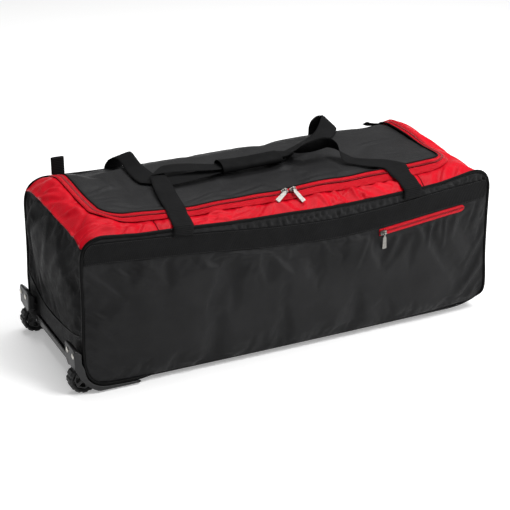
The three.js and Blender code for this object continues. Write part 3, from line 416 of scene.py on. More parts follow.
def ramp(tree, value, low, high, from_low=NOISE_LOW, from_high=NOISE_HIGH):
    made = add_node(tree, "ShaderNodeMapRange")
    made.inputs["From Min"].default_value = from_low
    made.inputs["From Max"].default_value = from_high
    made.inputs["To Min"].default_value = low
    made.inputs["To Max"].default_value = high
    tree.links.new(value, made.inputs["Value"])
    return made.outputs["Result"]


def color_by(tree, shader, value, first, second, from_low=NOISE_LOW, from_high=NOISE_HIGH):
    """Sets a shader's color between two tones."""
    part = ramp(tree, value, 0.0, 1.0, from_low, from_high)
    made = tree.nodes.new("ShaderNodeMix")
    made.data_type = "RGBA"
    made.inputs["A"].default_value = (*first, 1)
    made.inputs["B"].default_value = (*second, 1)
    tree.links.new(part, made.inputs["Factor"])
    tree.links.new(made.outputs["Result"], shader.inputs["Base Color"])


def roughness_by(tree, shader, value, roughness, less, more):
    """Sets a shader's roughness a little under and over a middle value."""
    tree.links.new(ramp(tree, value, roughness - less, roughness + more), shader.inputs["Roughness"])


def bump(tree, shader, height, strength, distance, before=None):
    made = add_node(tree, "ShaderNodeBump", Strength=strength, Distance=distance)
    tree.links.new(height, made.inputs["Height"])
    if before is not None:
        tree.links.new(before, made.inputs["Normal"])
    tree.links.new(made.outputs["Normal"], shader.inputs["Normal"])
    return made.outputs["Normal"]


def woven(name, dark, light, thread, roughness, crinkle, gloss):
    """Plain woven cloth: crossing threads, faint crinkles and slow changes of tone."""
    material, tree, shader = blank(name, dark, roughness, gloss)
    places = object_places(tree)
    cloth = cloth_places(tree)
    tone = noise(tree, places, scale=9.0, detail=4.0, roughness=0.6)
    color_by(tree, shader, tone, dark, light)
    roughness_by(tree, shader, noise(tree, places, scale=60.0), roughness, less=0.06, more=0.08)
    crumple = noise(tree, places, scale=55.0, detail=4.0, roughness=0.55)
    folds = bump(tree, shader, crumple, strength=crinkle, distance=0.004)
    threads = calc(tree, "MULTIPLY", wave(tree, cloth, "X", thread), wave(tree, cloth, "Y", thread))
    bump(tree, shader, threads, strength=0.35, distance=0.0003, before=folds)
    return material


# Twill between the ribs of webbing, and how much darker the grooves between the ribs are painted than their
# crests: painted shade
TWILL_PITCH = 0.45
TWILL_HEIGHT = 0.5
RIB_SHADE = 0.6


def ribbed(name, dark, light, rib, roughness, gloss):
    """Webbing: ribs across the strap and a fine twill along it, with painted shade in the grooves between the
    ribs.
    """
    material, tree, shader = blank(name, dark, roughness, gloss)
    cloth = cloth_places(tree)
    ribs = wave(tree, cloth, "X", rib)
    twill = wave(tree, cloth, "Y", rib * TWILL_PITCH)
    fluff = noise(tree, object_places(tree), scale=30.0, detail=4.0, roughness=0.6)
    # Rib crests painted lighter and the grooves between them darker (painted shade), added to the fluff's own
    # uneven tone
    tone = calc(tree, "ADD", calc(tree, "MULTIPLY", ribs, RIB_SHADE), fluff)
    color_by(tree, shader, tone, dark, light, from_low=0.4, from_high=1.0)
    height = calc(tree, "ADD", ribs, calc(tree, "MULTIPLY", twill, TWILL_HEIGHT))
    bump(tree, shader, height, strength=0.7, distance=0.0006)
    return material


def moulded(name, dark, light, roughness, grain, gloss):
    """Moulded plastic or rubber: fine grain, scuffs and an uneven gloss."""
    material, tree, shader = blank(name, dark, roughness, gloss)
    places = object_places(tree)
    scuffs = noise(tree, places, scale=35.0, detail=5.0, roughness=0.65)
    color_by(tree, shader, scuffs, dark, light, from_low=0.45, from_high=0.75)
    roughness_by(tree, shader, scuffs, roughness, less=0.08, more=0.12)
    bump(tree, shader, noise(tree, places, scale=grain, detail=2.0), strength=0.25, distance=0.0003)
    return material


def plated(name, color, dull, roughness):
    """Plated metal with faint polishing marks."""
    material, tree, shader = blank(name, color, roughness, metallic=1.0)
    marks = noise(tree, object_places(tree), scale=260.0)
    color_by(tree, shader, marks, color, dull)
    roughness_by(tree, shader, marks, roughness, less=0.05, more=0.12)
    return material


COOLNESS = 1.04


def grey(value):
    """A faintly cool grey."""
    return (value, value, value * COOLNESS)


# Columns: name, dark tone, light tone, thread pitch, roughness, crinkle, gloss
WOVEN_LOOKS = [
    ("shell_cloth", grey(0.009), grey(0.0142), 0.0007, 0.42, 0.16, 0.1),
    # Shell cloth painted lighter for the lid: painted light where the top light falls on it
    ("top_cloth", grey(0.0115), grey(0.018), 0.0007, 0.42, 0.16, 0.15),
    # Shell cloth painted darker, with less gloss, for both ends: painted shade on the end panels
    ("end_cloth", grey(0.0085), grey(0.013), 0.0007, 0.46, 0.16, 0.014),
    ("coated_cloth", grey(0.009), grey(0.013), 0.0006, 0.42, 0.08, 0.03),
    ("red_cloth", (0.45, 0.0014, 0.0095), (0.59, 0.0026, 0.0135), 0.0006, 0.34, 0.08, 0.12),
]
# Columns: name, dark tone, light tone, rib pitch, roughness, gloss
RIBBED_LOOKS = [
    ("red_zip_tape", (0.48, 0.0022, 0.01), (0.66, 0.004, 0.016), 0.0009, 0.4, 0.18),
    ("webbing", grey(0.0042), grey(0.0098), 0.0036, 0.7, 0.06),
]
# Columns: name, dark tone, light tone, roughness, grain, gloss
MOULDED_LOOKS = [
    ("piping", grey(0.0026), grey(0.005), 0.45, 700.0, 0.06),
    ("guard_plastic", grey(0.009), grey(0.013), 0.38, 900.0, 0.32),
    ("trim_plastic", grey(0.005), grey(0.01), 0.24, 500.0, 0.22),
    ("tyre_rubber", grey(0.007), grey(0.013), 0.5, 600.0, 0.3),
    ("thread", grey(0.008), grey(0.02), 0.5, 900.0, 0.3),
    ("red_thread", (0.5, 0.003, 0.012), (0.7, 0.006, 0.02), 0.5, 900.0, 0.2),
    # Very dark red for the cords along the gusset seams: painted shadow in the seams' grooves
    ("red_seam", (0.09, 0.002, 0.004), (0.13, 0.003, 0.006), 0.6, 900.0, 0.05),
    ("coil", (0.26, 0.006, 0.012), (0.34, 0.016, 0.02), 0.35, 400.0, 0.3),
]
# Columns: name, clean tone, dull tone, roughness
PLATED_LOOKS = [
    ("nickel", (0.5, 0.485, 0.45), (0.45, 0.435, 0.4), 0.34),
    # Nickel painted darker for the pulls and sliders: painted shade that keeps them from catching the key
    # light so brightly
    ("pull_nickel", (0.25, 0.242, 0.226), (0.21, 0.203, 0.19), 0.4),
    ("axle_steel", (0.45, 0.45, 0.46), (0.34, 0.34, 0.35), 0.36),
]
LOOK_TABLES = [
    (woven, WOVEN_LOOKS),
    (ribbed, RIBBED_LOOKS),
    (moulded, MOULDED_LOOKS),
    (plated, PLATED_LOOKS),
]
looks = {row[0]: kind(*row) for kind, rows in LOOK_TABLES for row in rows}


def paint(piece, look):
    piece.data.materials.clear()
    piece.data.materials.append(looks[look])


def dress(piece, slot, *replaced, body=BAG, look=None):
    paint(piece, look or slot)
    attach(piece, body)
    if replaced:
        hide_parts(*replaced)
    return piece


# Folds, in millimetres along and across a panel from the middle of the bag and up from the floor.
# Columns: start along, start across, end along, end across, half width, depth
FRONT_FOLDS = [
    (-436, 253, -376, 193, 10, 4.5),
    (-371, 241, -311, 196, 14, 3.4),
    (-438, 176, -392, 145, 8, 4.5),
    (-438, 154, -392, 113, 8, 4.9),
    (-434, 120, -386, 93, 8, 4.2),
    (-441, 85, -396, 52, 9, 4.5),
    (-300, 140, -190, 60, 26, 4.2),
    (-120, 215, -30, 150, 30, 3.4),
    (40, 120, 130, 40, 30, 3.8),
    (219, 200, 201, 176, 8, 3.1),
    (272, 225, 274, 194, 7, 2.8),
    (303, 222, 295, 193, 6, 3.1),
    (321, 224, 320, 188, 6, 3.2),
    (337, 226, 332, 184, 7, 3.1),
    (364, 240, 349, 196, 8, 3.8),
    (377, 236, 362, 208, 7, 3.1),
    (398, 258, 384, 216, 8, 4.2),
    (420, 254, 408, 188, 9, 4.5),
    (428, 170, 396, 120, 10, 3.8),
    (424, 100, 380, 60, 12, 3.8),
]
# Narrow creases, with the same columns
FRONT_CREASES = [
    (-371, 241, -318, 200, 5, 1.9),
    (-436, 253, -384, 203, 5, 1.9),
    (-438, 176, -400, 150, 4, 1.6),
    (-438, 154, -398, 120, 4, 1.6),
    (-430, 96, -396, 70, 4, 1.6),
    (-342, 236, -262, 196, 5, 1.4),
    (-60, 222, -20, 176, 5, 1.4),
    (150, 214, 128, 168, 5, 1.4),
    (300, 216, 294, 180, 4, 1.6),
    (334, 214, 328, 170, 4, 1.6),
    (402, 244, 386, 196, 4, 1.9),
    (424, 222, 410, 168, 4, 1.9),
]
WHEEL_END_FOLDS = [
    (77, 311, 152, 215, 12, 2.9),
    (-5, 316, 81, 242, 13, 2.6),
    (-119, 291, -31, 215, 10, 2.6),
    (-160, 300, -83, 221, 9, 2.9),
    (-158, 213, -38, 153, 10, 3.3),
    (-158, 208, -107, 158, 8, 2.6),
    (-156, 265, -60, 181, 9, 2.6),
    (12, 222, 56, 126, 16, 2.0),
    (-158, 130, -56, 106, 9, 2.6),
    (120, 250, 150, 160, 10, 2.4),
]
FAR_END_FOLDS = [
    (-150, 280, -90, 200, 11, 2.4),
    (-60, 300, -20, 190, 14, 2.0),
    (70, 300, 110, 200, 13, 2.2),
    (150, 240, 110, 150, 10, 2.2),
    (-150, 60, -80, 120, 12, 2.4),
    (150, 60, 90, 110, 12, 2.2),
]
BACK_FOLDS = [
    (-430, 230, -370, 180, 10, 2.2),
    (-432, 130, -380, 95, 9, 2.2),
    (-250, 200, -160, 110, 26, 2.2),
    (-40, 120, 60, 190, 30, 2.0),
    (200, 90, 280, 170, 28, 2.0),
    (425, 220, 370, 170, 11, 2.2),
    (425, 120, 380, 80, 10, 2.2),
]
LID_FOLDS = [
    (-362, -62, -300, -96, 9, 1.8),
    (-300, -96, -120, -98, 9, 1.5),
    (-347, 101, -323, 15, 16, 2.2),
    (-362, -11, -330, -4, 9, 1.6),
    (-295, 47, -299, -36, 18, 1.8),
    (-150, -90, -60, -60, 20, 1.4),
    (60, -95, 200, -92, 9, 1.4),
    (300, -60, 345, 20, 16, 1.8),
    (280, 60, 340, 120, 18, 1.6),
    (-60, 90, 60, 110, 22, 1.6),
]
WHEEL_GUSSET_FOLDS = [
    (-430, -144, -360, -112, 11, 3.6),
    (-428, -128, -395, -103, 11, 2.8),
    (-363, -120, -372, -158, 10, 3.2),
    (-352, -160, -330, -142, 8, 3.5),
    (-334, -160, -311, -140, 8, 3.2),
    (-312, -160, -296, -140, 7, 2.8),
    (-433, 20, -404, -32, 13, 2.8),
    (-432, 70, -402, 30, 13, 2.5),
    (-414, -32, -404, -70, 11, 2.5),
    (-430, 130, -404, 90, 13, 2.5),
]
FAR_GUSSET_FOLDS = [
    (300, -160, 318, -141, 8, 2.8),
    (336, -160, 352, -140, 10, 2.5),
    (425, -150, 384, -118, 13, 3.2),
    (428, -90, 404, -60, 13, 2.5),
    (428, 0, 404, 50, 14, 2.5),
    (428, 80, 404, 120, 14, 2.5),
]
FRONT_GUSSET_FOLDS = [
    (-276, -160, -258, -140, 8, 2.9),
    (-196, -160, -160, -142, 11, 3.5),
    (-150, -141, -120, -160, 11, 3.0),
    (-120, -160, -88, -141, 10, 3.2),
    (-70, -160, -40, -141, 10, 2.9),
    (-22, -141, -4, -160, 8, 2.2),
    (40, -160, 62, -141, 10, 3.0),
    (70, -141, 96, -160, 10, 3.2),
    (100, -160, 132, -141, 8, 3.5),
    (140, -141, 158, -160, 8, 3.2),
    (160, -160, 190, -142, 10, 3.2),
    (196, -142, 222, -160, 8, 3.0),
    (226, -160, 240, -142, 7, 2.6),
]
# Narrow creases of the gusset and the lid, with the same columns
WHEEL_GUSSET_CREASES = [
    (-435, -125, -391, -137, 6, 4.1),
    (-433, -153, -375, -142, 5, 4.4),
    (-376, -147, -327, -151, 5, 2.7),
    (-350, -160, -338, -150, 4, 2.2),
    (-318, -160, -309, -149, 4, 2.2),
    (-416, -46, -398, -55, 6, 4.1),
    (-429, 28, -411, -14, 6, 3.1),
    (-436, 77, -415, 37, 6, 3.4),
    (-419, 77, -397, 53, 6, 3.4),
]
FRONT_GUSSET_CREASES = [
    (-152, -135, -200, -141, 5, 3.7),
    (-181, -146, -142, -156, 5, 3.7),
    (-95, -134, -129, -141, 6, 3.7),
    (-70, -135, -101, -158, 6, 4.4),
    (56, -134, 70, -156, 5, 3.7),
    (98, -134, 104, -156, 5, 4.1),
    (130, -134, 138, -156, 5, 4.1),
    (168, -136, 200, -158, 6, 4.4),
    (197, -134, 221, -146, 5, 3.1),
    (-262, -160, -254, -149, 4, 2.0),
    (-166, -160, -158, -151, 4, 2.0),
    (-54, -160, -46, -150, 4, 2.0),
    (16, -160, 24, -150, 4, 2.0),
    (84, -160, 90, -150, 4, 2.0),
    (152, -160, 158, -151, 4, 2.0),
]
FAR_GUSSET_CREASES = [
    (330, -159, 346, -142, 5, 2.7),
    (366, -158, 392, -134, 6, 2.7),
]
LID_CREASES = [
    (-366, 6, -314, 29, 6, 2.5),
    (-366, -22, -326, -31, 5, 2.4),
    (-319, 66, -309, 34, 6, 2.4),
    (-180, -84, -120, -66, 6, 2.0),
    (-90, -92, -30, -78, 6, 2.0),
    (250, 20, 330, 30, 6, 2.4),
    (270, -40, 340, -50, 6, 2.4),
]


# Section of a fold: loss of depth along it, and the depth and place of the valley beside its ridge
FOLD_LOSS = 0.45
VALLEY_DEPTH = 0.6
VALLEY_PLACE = 1.5


def fold_depth(a, b, rows):
    """Depth of a set of folds, each a soft step along its line that dies out at its ends."""
    total = np.zeros(np.shape(a))
    for start_a, start_b, end_a, end_b, half, depth in rows:
        line = np.array([end_a - start_a, end_b - start_b], float)
        long = np.linalg.norm(line)
        ahead = line / long
        along = ((a - start_a) * ahead[0] + (b - start_b) * ahead[1]) / long
        off = (-(a - start_a) * ahead[1] + (b - start_b) * ahead[0]) / half
        past = np.maximum(np.abs(along - 0.5) - 0.5, 0) * long / (2 * half)
        fade = np.exp(-past ** 2) * (1 - FOLD_LOSS * np.clip(along, 0, 1))
        total += depth * fade * (np.exp(-off ** 2) - VALLEY_DEPTH * np.exp(-(off - VALLEY_PLACE) ** 2))
    return total


SWELL_WAVES = 14


def ripple(a, b, seed, shortest, longest):
    """Slow random swells of about unit height, the same each run."""
    draw = np.random.default_rng(seed)
    total = np.zeros(np.shape(a))
    for _ in range(SWELL_WAVES):
        length = draw.uniform(shortest, longest)
        angle = draw.uniform(0, TURN)
        phase = draw.uniform(0, TURN)
        total += np.sin((a * math.cos(angle) + b * math.sin(angle)) / length * TURN + phase)
    return total / math.sqrt(SWELL_WAVES)


EDGE_SHARPNESS = 14


def edge_window(shape):
    """One over most of a grid, falling to nothing at its edges."""
    u = np.linspace(-1, 1, shape[0])[:, None]
    v = np.linspace(-1, 1, shape[1])[None, :]
    return (1 - np.abs(u) ** EDGE_SHARPNESS) * (1 - np.abs(v) ** EDGE_SHARPNESS)


STRIP_STATIONS = 60


def within(node, places, margin):
    """How far places of a wall lie over a solid sewn onto it: one on the solid, none past a margin."""
    low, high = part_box(node)
    x = places[..., X]
    z = places[..., Z]
    stations, lows, highs = edge_run(node, STRIP_STATIONS)
    past = np.maximum(np.interp(x, stations, lows) - z, z - np.interp(x, stations, highs))
    past = np.maximum(past, np.maximum(low.x - x, x - high.x))
    return np.clip(1 - past / margin, 0, 1)


def millimetres(places, axes):
    """Places along two axes, in millimetres from the middle of the bag and up from the floor."""
    middle = (MIDDLE_X, MIDDLE_Y, 0)
    return [(places[..., axis] - middle[axis]) * MM for axis in axes]


SWELL_LENGTHS = (70, 190)
FLAT_MARGIN = 0.009


def folded(places, axes, normal, rows, swell, seed, flat_under=()):
    """A panel's grid with its folds and swells, in millimetres, raised along one direction."""
    a, b = millimetres(places, axes)
    depth = fold_depth(a, b, rows) + swell * ripple(a, b, seed, *SWELL_LENGTHS)
    depth = depth * edge_window(places.shape)
    for node in flat_under:
        depth = depth * (1 - within(node, places, FLAT_MARGIN))
    return places + depth[..., None] / MM * np.array(normal, float)


# Cloth panels
def rounded_panel(relief, node, wide, tall, place):
    """A panel that fills the outline of its solid, a little past its edge, on the smooth outer face."""
    low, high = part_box(node)
    axes = relief.axes
    middle = np.array([(low[axis] + high[axis]) / 2 for axis in axes])
    half = np.array([(high[axis] - low[axis]) / 2 for axis in axes])
    reach = outline_reach(node, axes, middle) + TUCK
    u, v = np.meshgrid(np.linspace(-1, 1, wide), np.linspace(-1, 1, tall), indexing="ij")
    size = np.maximum(np.abs(u), np.abs(v))
    angles = np.arctan2(v * half[1], u * half[0])
    far = size * reach_at(reach, angles)
    return place(middle[0] + far * np.cos(angles), middle[1] + far * np.sin(angles))


def on_wall(relief):
    def place(x, z):
        return np.stack([x, relief.at(x, z), z], axis=-1)
    return place


def off_wall(relief, side, x, z, lift):
    """Places at a height over the cloth of a long wall."""
    places = on_wall(relief)(x, z)
    places[..., Y] += side * lift
    return places


def on_roof(x, y):
    return np.stack([x, y, roof.at(x, y)], axis=-1)


def on_end(relief):
    def place(y, z):
        return np.stack([relief.at(y, z), y, z], axis=-1)
    return place


def end_panel(relief, node, stations, tall):
    """An end panel in columns between the lower and upper edge of its solid, a little past both."""
    lows, highs = spans(node, END_AXES, stations)
    parts = np.linspace(0, 1, tall)
    return on_end(relief)(*columns(stations, lows - TUCK, highs - lows + 2 * TUCK, parts))


cloth_pieces = []
slack_pieces = []
grids = {}
puckers = {}
stitches = []


def cloth_panel(name, places, slot, replaced, look=None):
    piece = grid_object(name, places)
    dress(piece, slot, *replaced, look=look)
    cloth_pieces.append(piece)
    grids[name] = places.shape[:2]


OUT_FRONT = (0, -1, 0)
OUT_BACK = (0, 1, 0)
OUT_WHEELS = (-1, 0, 0)
OUT_FAR = (1, 0, 0)
UP = (0, 0, 1)

WALL_SWELL = 1.1
END_SWELL = 0.8
LID_SWELL = 0.5

front_places = rounded_panel(front, "front_panel", wide=150, tall=50, place=on_wall(front))
front_places = folded(front_places, WALL_AXES, OUT_FRONT, FRONT_FOLDS, WALL_SWELL, seed=1,
                      flat_under=["front_band", "pocket_zip_tape"])
cloth_panel("front_cloth", front_places, "shell_cloth", ["front_panel"])
back_places = rounded_panel(back, "back_panel", wide=120, tall=40, place=on_wall(back))
back_places = folded(back_places, WALL_AXES, OUT_BACK, BACK_FOLDS, WALL_SWELL, seed=2,
                     flat_under=["back_band"])
cloth_panel("back_cloth", back_places, "shell_cloth", ["back_panel"])

# The loose far end of the lid is drawn in, over a length and by less at the front than at the back.
DRAWN_LENGTH = 0.14
DRAWN_FRONT = 0.004
DRAWN_BACK = 0.012


def drawn_in(x, y):
    """How far the loose far end of the lid is drawn in, more towards the back."""
    far = np.clip((x - lid_high.x + DRAWN_LENGTH) / DRAWN_LENGTH, 0, 1)
    rear = np.clip((y - lid_low.y) / (lid_high.y - lid_low.y), 0, 1)
    return (DRAWN_FRONT + (DRAWN_BACK - DRAWN_FRONT) * rear) * far * far * (3 - 2 * far)


def on_lid(x, y):
    return on_roof(x - drawn_in(x, y), y)


lid_places = rounded_panel(roof, "lid_panel", wide=120, tall=48, place=on_lid)
lid_places = folded(lid_places, TOP_AXES, UP, LID_FOLDS, LID_SWELL, seed=3)
# The lid takes the shell cloth painted lighter: painted light on the top
cloth_panel("lid_cloth", lid_places, "shell_cloth", ["lid_panel"],
            look="top_cloth")

end_low, end_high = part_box("wheel_end_panel")


def end_run(count):
    return np.linspace(end_low.y + EDGE_STEP, end_high.y - EDGE_STEP, count)


end_stations = end_run(count=64)
wheel_end_places = end_panel(wheel_end, "wheel_end_panel", end_stations, tall=40)
wheel_end_places = folded(wheel_end_places, END_AXES, OUT_WHEELS, WHEEL_END_FOLDS, END_SWELL, seed=4)
# The wheel end takes the shell cloth painted darker: painted shade
cloth_panel("wheel_end_cloth", wheel_end_places, "shell_cloth", ["wheel_end_panel"],
            look="end_cloth")
far_places = end_panel(far_end, "far_end_panel", end_stations, tall=52)
far_places = folded(far_places, END_AXES, OUT_FAR, FAR_END_FOLDS, END_SWELL, seed=5)
# The far end takes the shell cloth painted darker: painted shade
cloth_panel("far_end_cloth", far_places, "shell_cloth", ["far_end_panel"],
            look="end_cloth")

KICK_BULGE = 0.0055
BULGE_RISE = 0.003
BULGE_BLEND = 0.02
trim_low, trim_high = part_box("base_edge_trim")


def kick_bulge(places):
    """How far the kick panel bulges out over the trim between the guards, down from its piping."""
    rise = np.linspace(0, 1, places.shape[1])[None, :]
    over = np.clip((places[..., Z] - trim_high.z) / BULGE_RISE, 0, 1)
    inside = np.minimum(places[..., Y] - trim_low.y, trim_high.y - places[..., Y])
    return KICK_BULGE * (1 - rise) * over * np.clip(inside / BULGE_BLEND, 0, 1)


kick_places = end_panel(wheel_end, "kick_panel", end_run(count=90), tall=16)
kick_places[..., X] -= kick_bulge(kick_places)
cloth_panel("kick_cloth", kick_places, "coated_cloth", ["kick_panel"])


def base_grid(wide, tall):
    stations = np.linspace(base_low.x + EDGE_STEP, base_high.x - EDGE_STEP, wide)
    lows, highs = spans("base_panel", TOP_AXES, stations)
    x, y = columns(stations, lows, highs - lows, np.linspace(0, 1, tall))
    return np.stack([x, y, underside.at(x, y)], axis=-1)


base_places = base_grid(wide=90, tall=30)
cloth_panel("base_cloth", base_places, "coated_cloth", ["base_panel"])


# Lid edge, seen from above
LID_HALF = (lid_high.x - lid_low.x) / 2 + TUCK
LID_FRONT = lid_low.y - TUCK
CORNER_ALONG = LID_HALF - LID_CORNER
CORNER_ACROSS = LID_FRONT + LID_CORNER
CORNER_POINTS = 24
TAPE_END_GAP = 0.001
TAPE_BACK = tape_high.y - TAPE_END_GAP


def lid_edge(away, step):
    """A line at a distance from the edge of the lid, along its ends and front and round its corners."""
    reach = LID_CORNER + away
    angles = np.linspace(0, TURN / 4, CORNER_POINTS)
    left_arc = [MIDDLE_X - CORNER_ALONG - reach * np.cos(angles), CORNER_ACROSS - reach * np.sin(angles)]
    right_arc = [MIDDLE_X + CORNER_ALONG + reach * np.sin(angles), CORNER_ACROSS - reach * np.cos(angles)]
    line = np.concatenate([
        [[MIDDLE_X - LID_HALF - away, TAPE_BACK]],
        np.stack(left_arc, axis=1),
        np.stack(right_arc, axis=1),
        [[MIDDLE_X + LID_HALF + away, TAPE_BACK]],
    ])
    line = even_path(line, step)
    line[:, 0] -= drawn_in(line[:, 0], line[:, 1])
    return line


TAPE_STEP = 0.004
CREST = 0.009
CREST_PAST_LID = 0.014
CREST_HALF_WIDTH = 0.024
CREST_START = 0.03
CREST_RISE = 0.08
CREST_FALL = 0.03
TAPE_WAVE = 0.0013
TAPE_WAVE_START = 0.08
TAPE_WAVE_BLEND = 0.02
TAPE_WAVE_SEED = 31
TAPE_WAVE_LENGTHS = (75, 150)


def crest(x, y):
    """Lift of the zip tape and gusset where they stand up behind the far end of the lid."""
    along = np.exp(-((x - lid_high.x - CREST_PAST_LID) / CREST_HALF_WIDTH) ** 2)
    rear = np.clip((y - MIDDLE_Y + CREST_START) / CREST_RISE, 0, 1)
    seam = np.clip((tape_high.y - y) / CREST_FALL, 0, 1)
    return CREST * along * rear * rear * (3 - 2 * rear) * seam * (2 - seam)


def tape_waves(x, y):
    """Slow rise and fall of the zip tape along the front of the lid."""
    front_part = np.clip((MIDDLE_Y - TAPE_WAVE_START - y) / TAPE_WAVE_BLEND, 0, 1)
    return TAPE_WAVE * front_part * ripple(x * MM, 0 * x, TAPE_WAVE_SEED, *TAPE_WAVE_LENGTHS)


def raised(path, lift):
    x = path[:, 0]
    y = path[:, 1]
    height = roof.at(x, y) + crest(x, y) + tape_waves(x, y) + lift
    return np.stack([x, y, height], axis=1)


# Zip tape, columns: distance from the lid edge, height over the cloth
INNER_TAPE_ROWS = [
    (0.0002, 0.0004),
    (0.0014, 0.0012),
    (0.0040, 0.0010),
    (0.0068, 0.0007),
    (0.0082, 0.0002),
]
OUTER_TAPE_ROWS = [
    (0.0112, 0.0001),
    (0.0122, 0.0010),
    (0.0138, 0.0017),
    (0.0162, 0.0022),
    (0.0188, 0.0023),
    (0.0204, 0.0020),
    (0.0213, 0.0011),
    (0.0216, 0.0000),
]


def tape_sheet(rows):
    lines = [raised(lid_edge(away, TAPE_STEP), lift) for away, lift in rows]
    count = min(len(line) for line in lines)
    evened = []
    for line in lines:
        marks = np.arange(len(line))
        evened.append(resampled(line, marks, np.linspace(0, len(line) - 1, count)))
    return np.stack(evened, axis=1)


cloth_panel("lid_tape_inner", tape_sheet(INNER_TAPE_ROWS), "red_zip_tape", ["lid_zip_tape"])
cloth_panel("lid_tape_outer", tape_sheet(OUTER_TAPE_ROWS), "red_zip_tape", ["lid_zip_tape"])


# Coil zip: leaning teeth from both sides of the line
TOOTH_LONG = 0.0011
TOOTH_WIDE = 0.0030
TOOTH_TALL = 0.0016
TOOTH_OFFSET = 0.0009
LID_COIL_LIFT = 0.0002
POCKET_COIL_LIFT = 0.0008
SQUARE = [(-1, -1), (1, -1), (1, 1), (-1, 1)]
# Columns: part of the height, share of the width
TOOTH_LEVELS = [(0, 1.0), (0.6, 1.0), (1.0, 0.6)]
TOOTH_FACES = [(0, 1, 5, 4), (1, 2, 6, 5), (2, 3, 7, 6), (3, 0, 4, 7),
               (4, 5, 9, 8), (5, 6, 10, 9), (6, 7, 11, 10), (7, 4, 8, 11), (8, 9, 10, 11)]


def tooth_block(centre, ahead, across, up):
    corners = []
    for level, share in TOOTH_LEVELS:
        for a, b in SQUARE:
            corner = centre + ahead * a * (TOOTH_LONG / 2) * share
            corner = corner + across * b * (TOOTH_WIDE / 2) * share
            corners.append(corner + up * level * TOOTH_TALL)
    return corners


def coil_object(name, path, facing):
    up = np.array(facing, float)
    ahead = directions_of(path)
    across = np.cross(up, ahead)
    points = []
    faces = []
    for index, place in enumerate(path):
        side = 1 if index % 2 else -1
        centre = place + across[index] * side * TOOTH_OFFSET
        start = len(points)
        points.extend(tooth_block(centre, ahead[index], across[index], up))
        faces.extend([tuple(start + corner for corner in face) for face in TOOTH_FACES])
    return mesh_object(name, points, faces)


def small_part(piece, look):
    paint(piece, look)
    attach(piece, BAG)


coil_path = raised(lid_edge(COIL_FROM_EDGE, TOOTH_PITCH), LID_COIL_LIFT)
small_part(coil_object("lid_coil", coil_path, UP), "coil")


# Lid piping
LID_PIPING_LIFT = 0.0012
SMALL_PIPING_SIDES = 8
lid_line = raised(lid_edge(0.0, TAPE_STEP), LID_PIPING_LIFT)
lid_cord = cord_object("lid_edge_piping", lid_line, LID_PIPING_RADIUS, SMALL_PIPING_SIDES, False, UP)
dress(lid_cord, "piping", "lid_piping")


# Red gusset between the tape and the walls
GUSSET_INNER = 0.0155
GUSSET_DIP = 0.0036
GUSSET_DIP_PART = 0.45
SEAM_SINK = 0.0022
SEAM_REACH = 0.0045
# Radius of the dark cord painted as shadow along each gusset seam
SEAM_SHADOW_RADIUS = 0.0011
GUSSET_SIDE_STEPS = 44
GUSSET_CORNER_STEPS = 36
GUSSET_FRONT_STEPS = 10
GUSSET_WIDE = 160
GUSSET_ROWS = 12
END_GUSSET_SWELL = 0.5
FRONT_GUSSET_SWELL = 0.4
gusset_low, gusset_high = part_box("gusset_front")
wheel_gusset_low, wheel_gusset_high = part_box("gusset_wheel_end")
far_gusset_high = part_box("gusset_far_end")[1]
GUSSET_EDGE = gusset_low.y - TUCK


def gusset_end_pairs(end, seam_x, front_x, back_y):
    """Matching places on the inner and outer edge of an end gusset, from the back round its corner."""
    centre = MIDDLE_X + end * CORNER_ALONG
    reach = LID_CORNER + GUSSET_INNER
    inner = []
    outer = []
    for y in np.linspace(back_y, CORNER_ACROSS, GUSSET_SIDE_STEPS)[:-1]:
        inner.append((centre + end * reach, y))
        outer.append((seam_x, y))
    for part in np.linspace(0, 1, GUSSET_CORNER_STEPS):
        angle = part * TURN / 4
        inner.append((centre + end * reach * math.cos(angle), CORNER_ACROSS - reach * math.sin(angle)))
        if part <= 0.5:
            outer.append((seam_x, CORNER_ACROSS + (GUSSET_EDGE - CORNER_ACROSS) * part * 2))
        else:
            outer.append((seam_x + (centre - seam_x) * (part * 2 - 1), GUSSET_EDGE))
    for x in np.linspace(centre, front_x, GUSSET_FRONT_STEPS)[1:]:
        inner.append((x, CORNER_ACROSS - reach))
        outer.append((x, GUSSET_EDGE))
    inner = np.array(inner)
    inner[:, 0] -= drawn_in(inner[:, 0], inner[:, 1])
    return inner, np.array(outer)


def between(inner, outer):
    parts = np.linspace(0, 1, GUSSET_ROWS)[None, :, None]
    return inner[:, None] * (1 - parts) + outer[:, None] * parts


def near_tape(count):
    """How near each row of a gusset lies to the zip tape, from one under the tape to nothing."""
    return np.clip(1 - np.linspace(0, 1, count) / GUSSET_DIP_PART, 0, 1) ** 2


def seam_dip(x):
    """Depth of the two seams across the gusset, where its front piece meets its end pieces."""
    off = np.minimum(np.abs(x - gusset_low.x), np.abs(x - gusset_high.x))
    return SEAM_SINK * np.exp(-(off / SEAM_REACH) ** 2)


def gusset_sheet(flat, rows, swell, seed):
    """A gusset piece that dips under the zip tape and at its seams, and has its folds beyond the tape."""
    x = flat[..., X]
    y = flat[..., Y]
    places = on_roof(x, y)
    near = near_tape(flat.shape[1])
    places[..., Z] += crest(x, y) + (tape_waves(x, y) - GUSSET_DIP) * near - seam_dip(x) * (1 - near)
    raised_cloth = folded(places, TOP_AXES, UP, rows, swell, seed)
    return places + (raised_cloth - places) * (1 - near)[None, :, None]


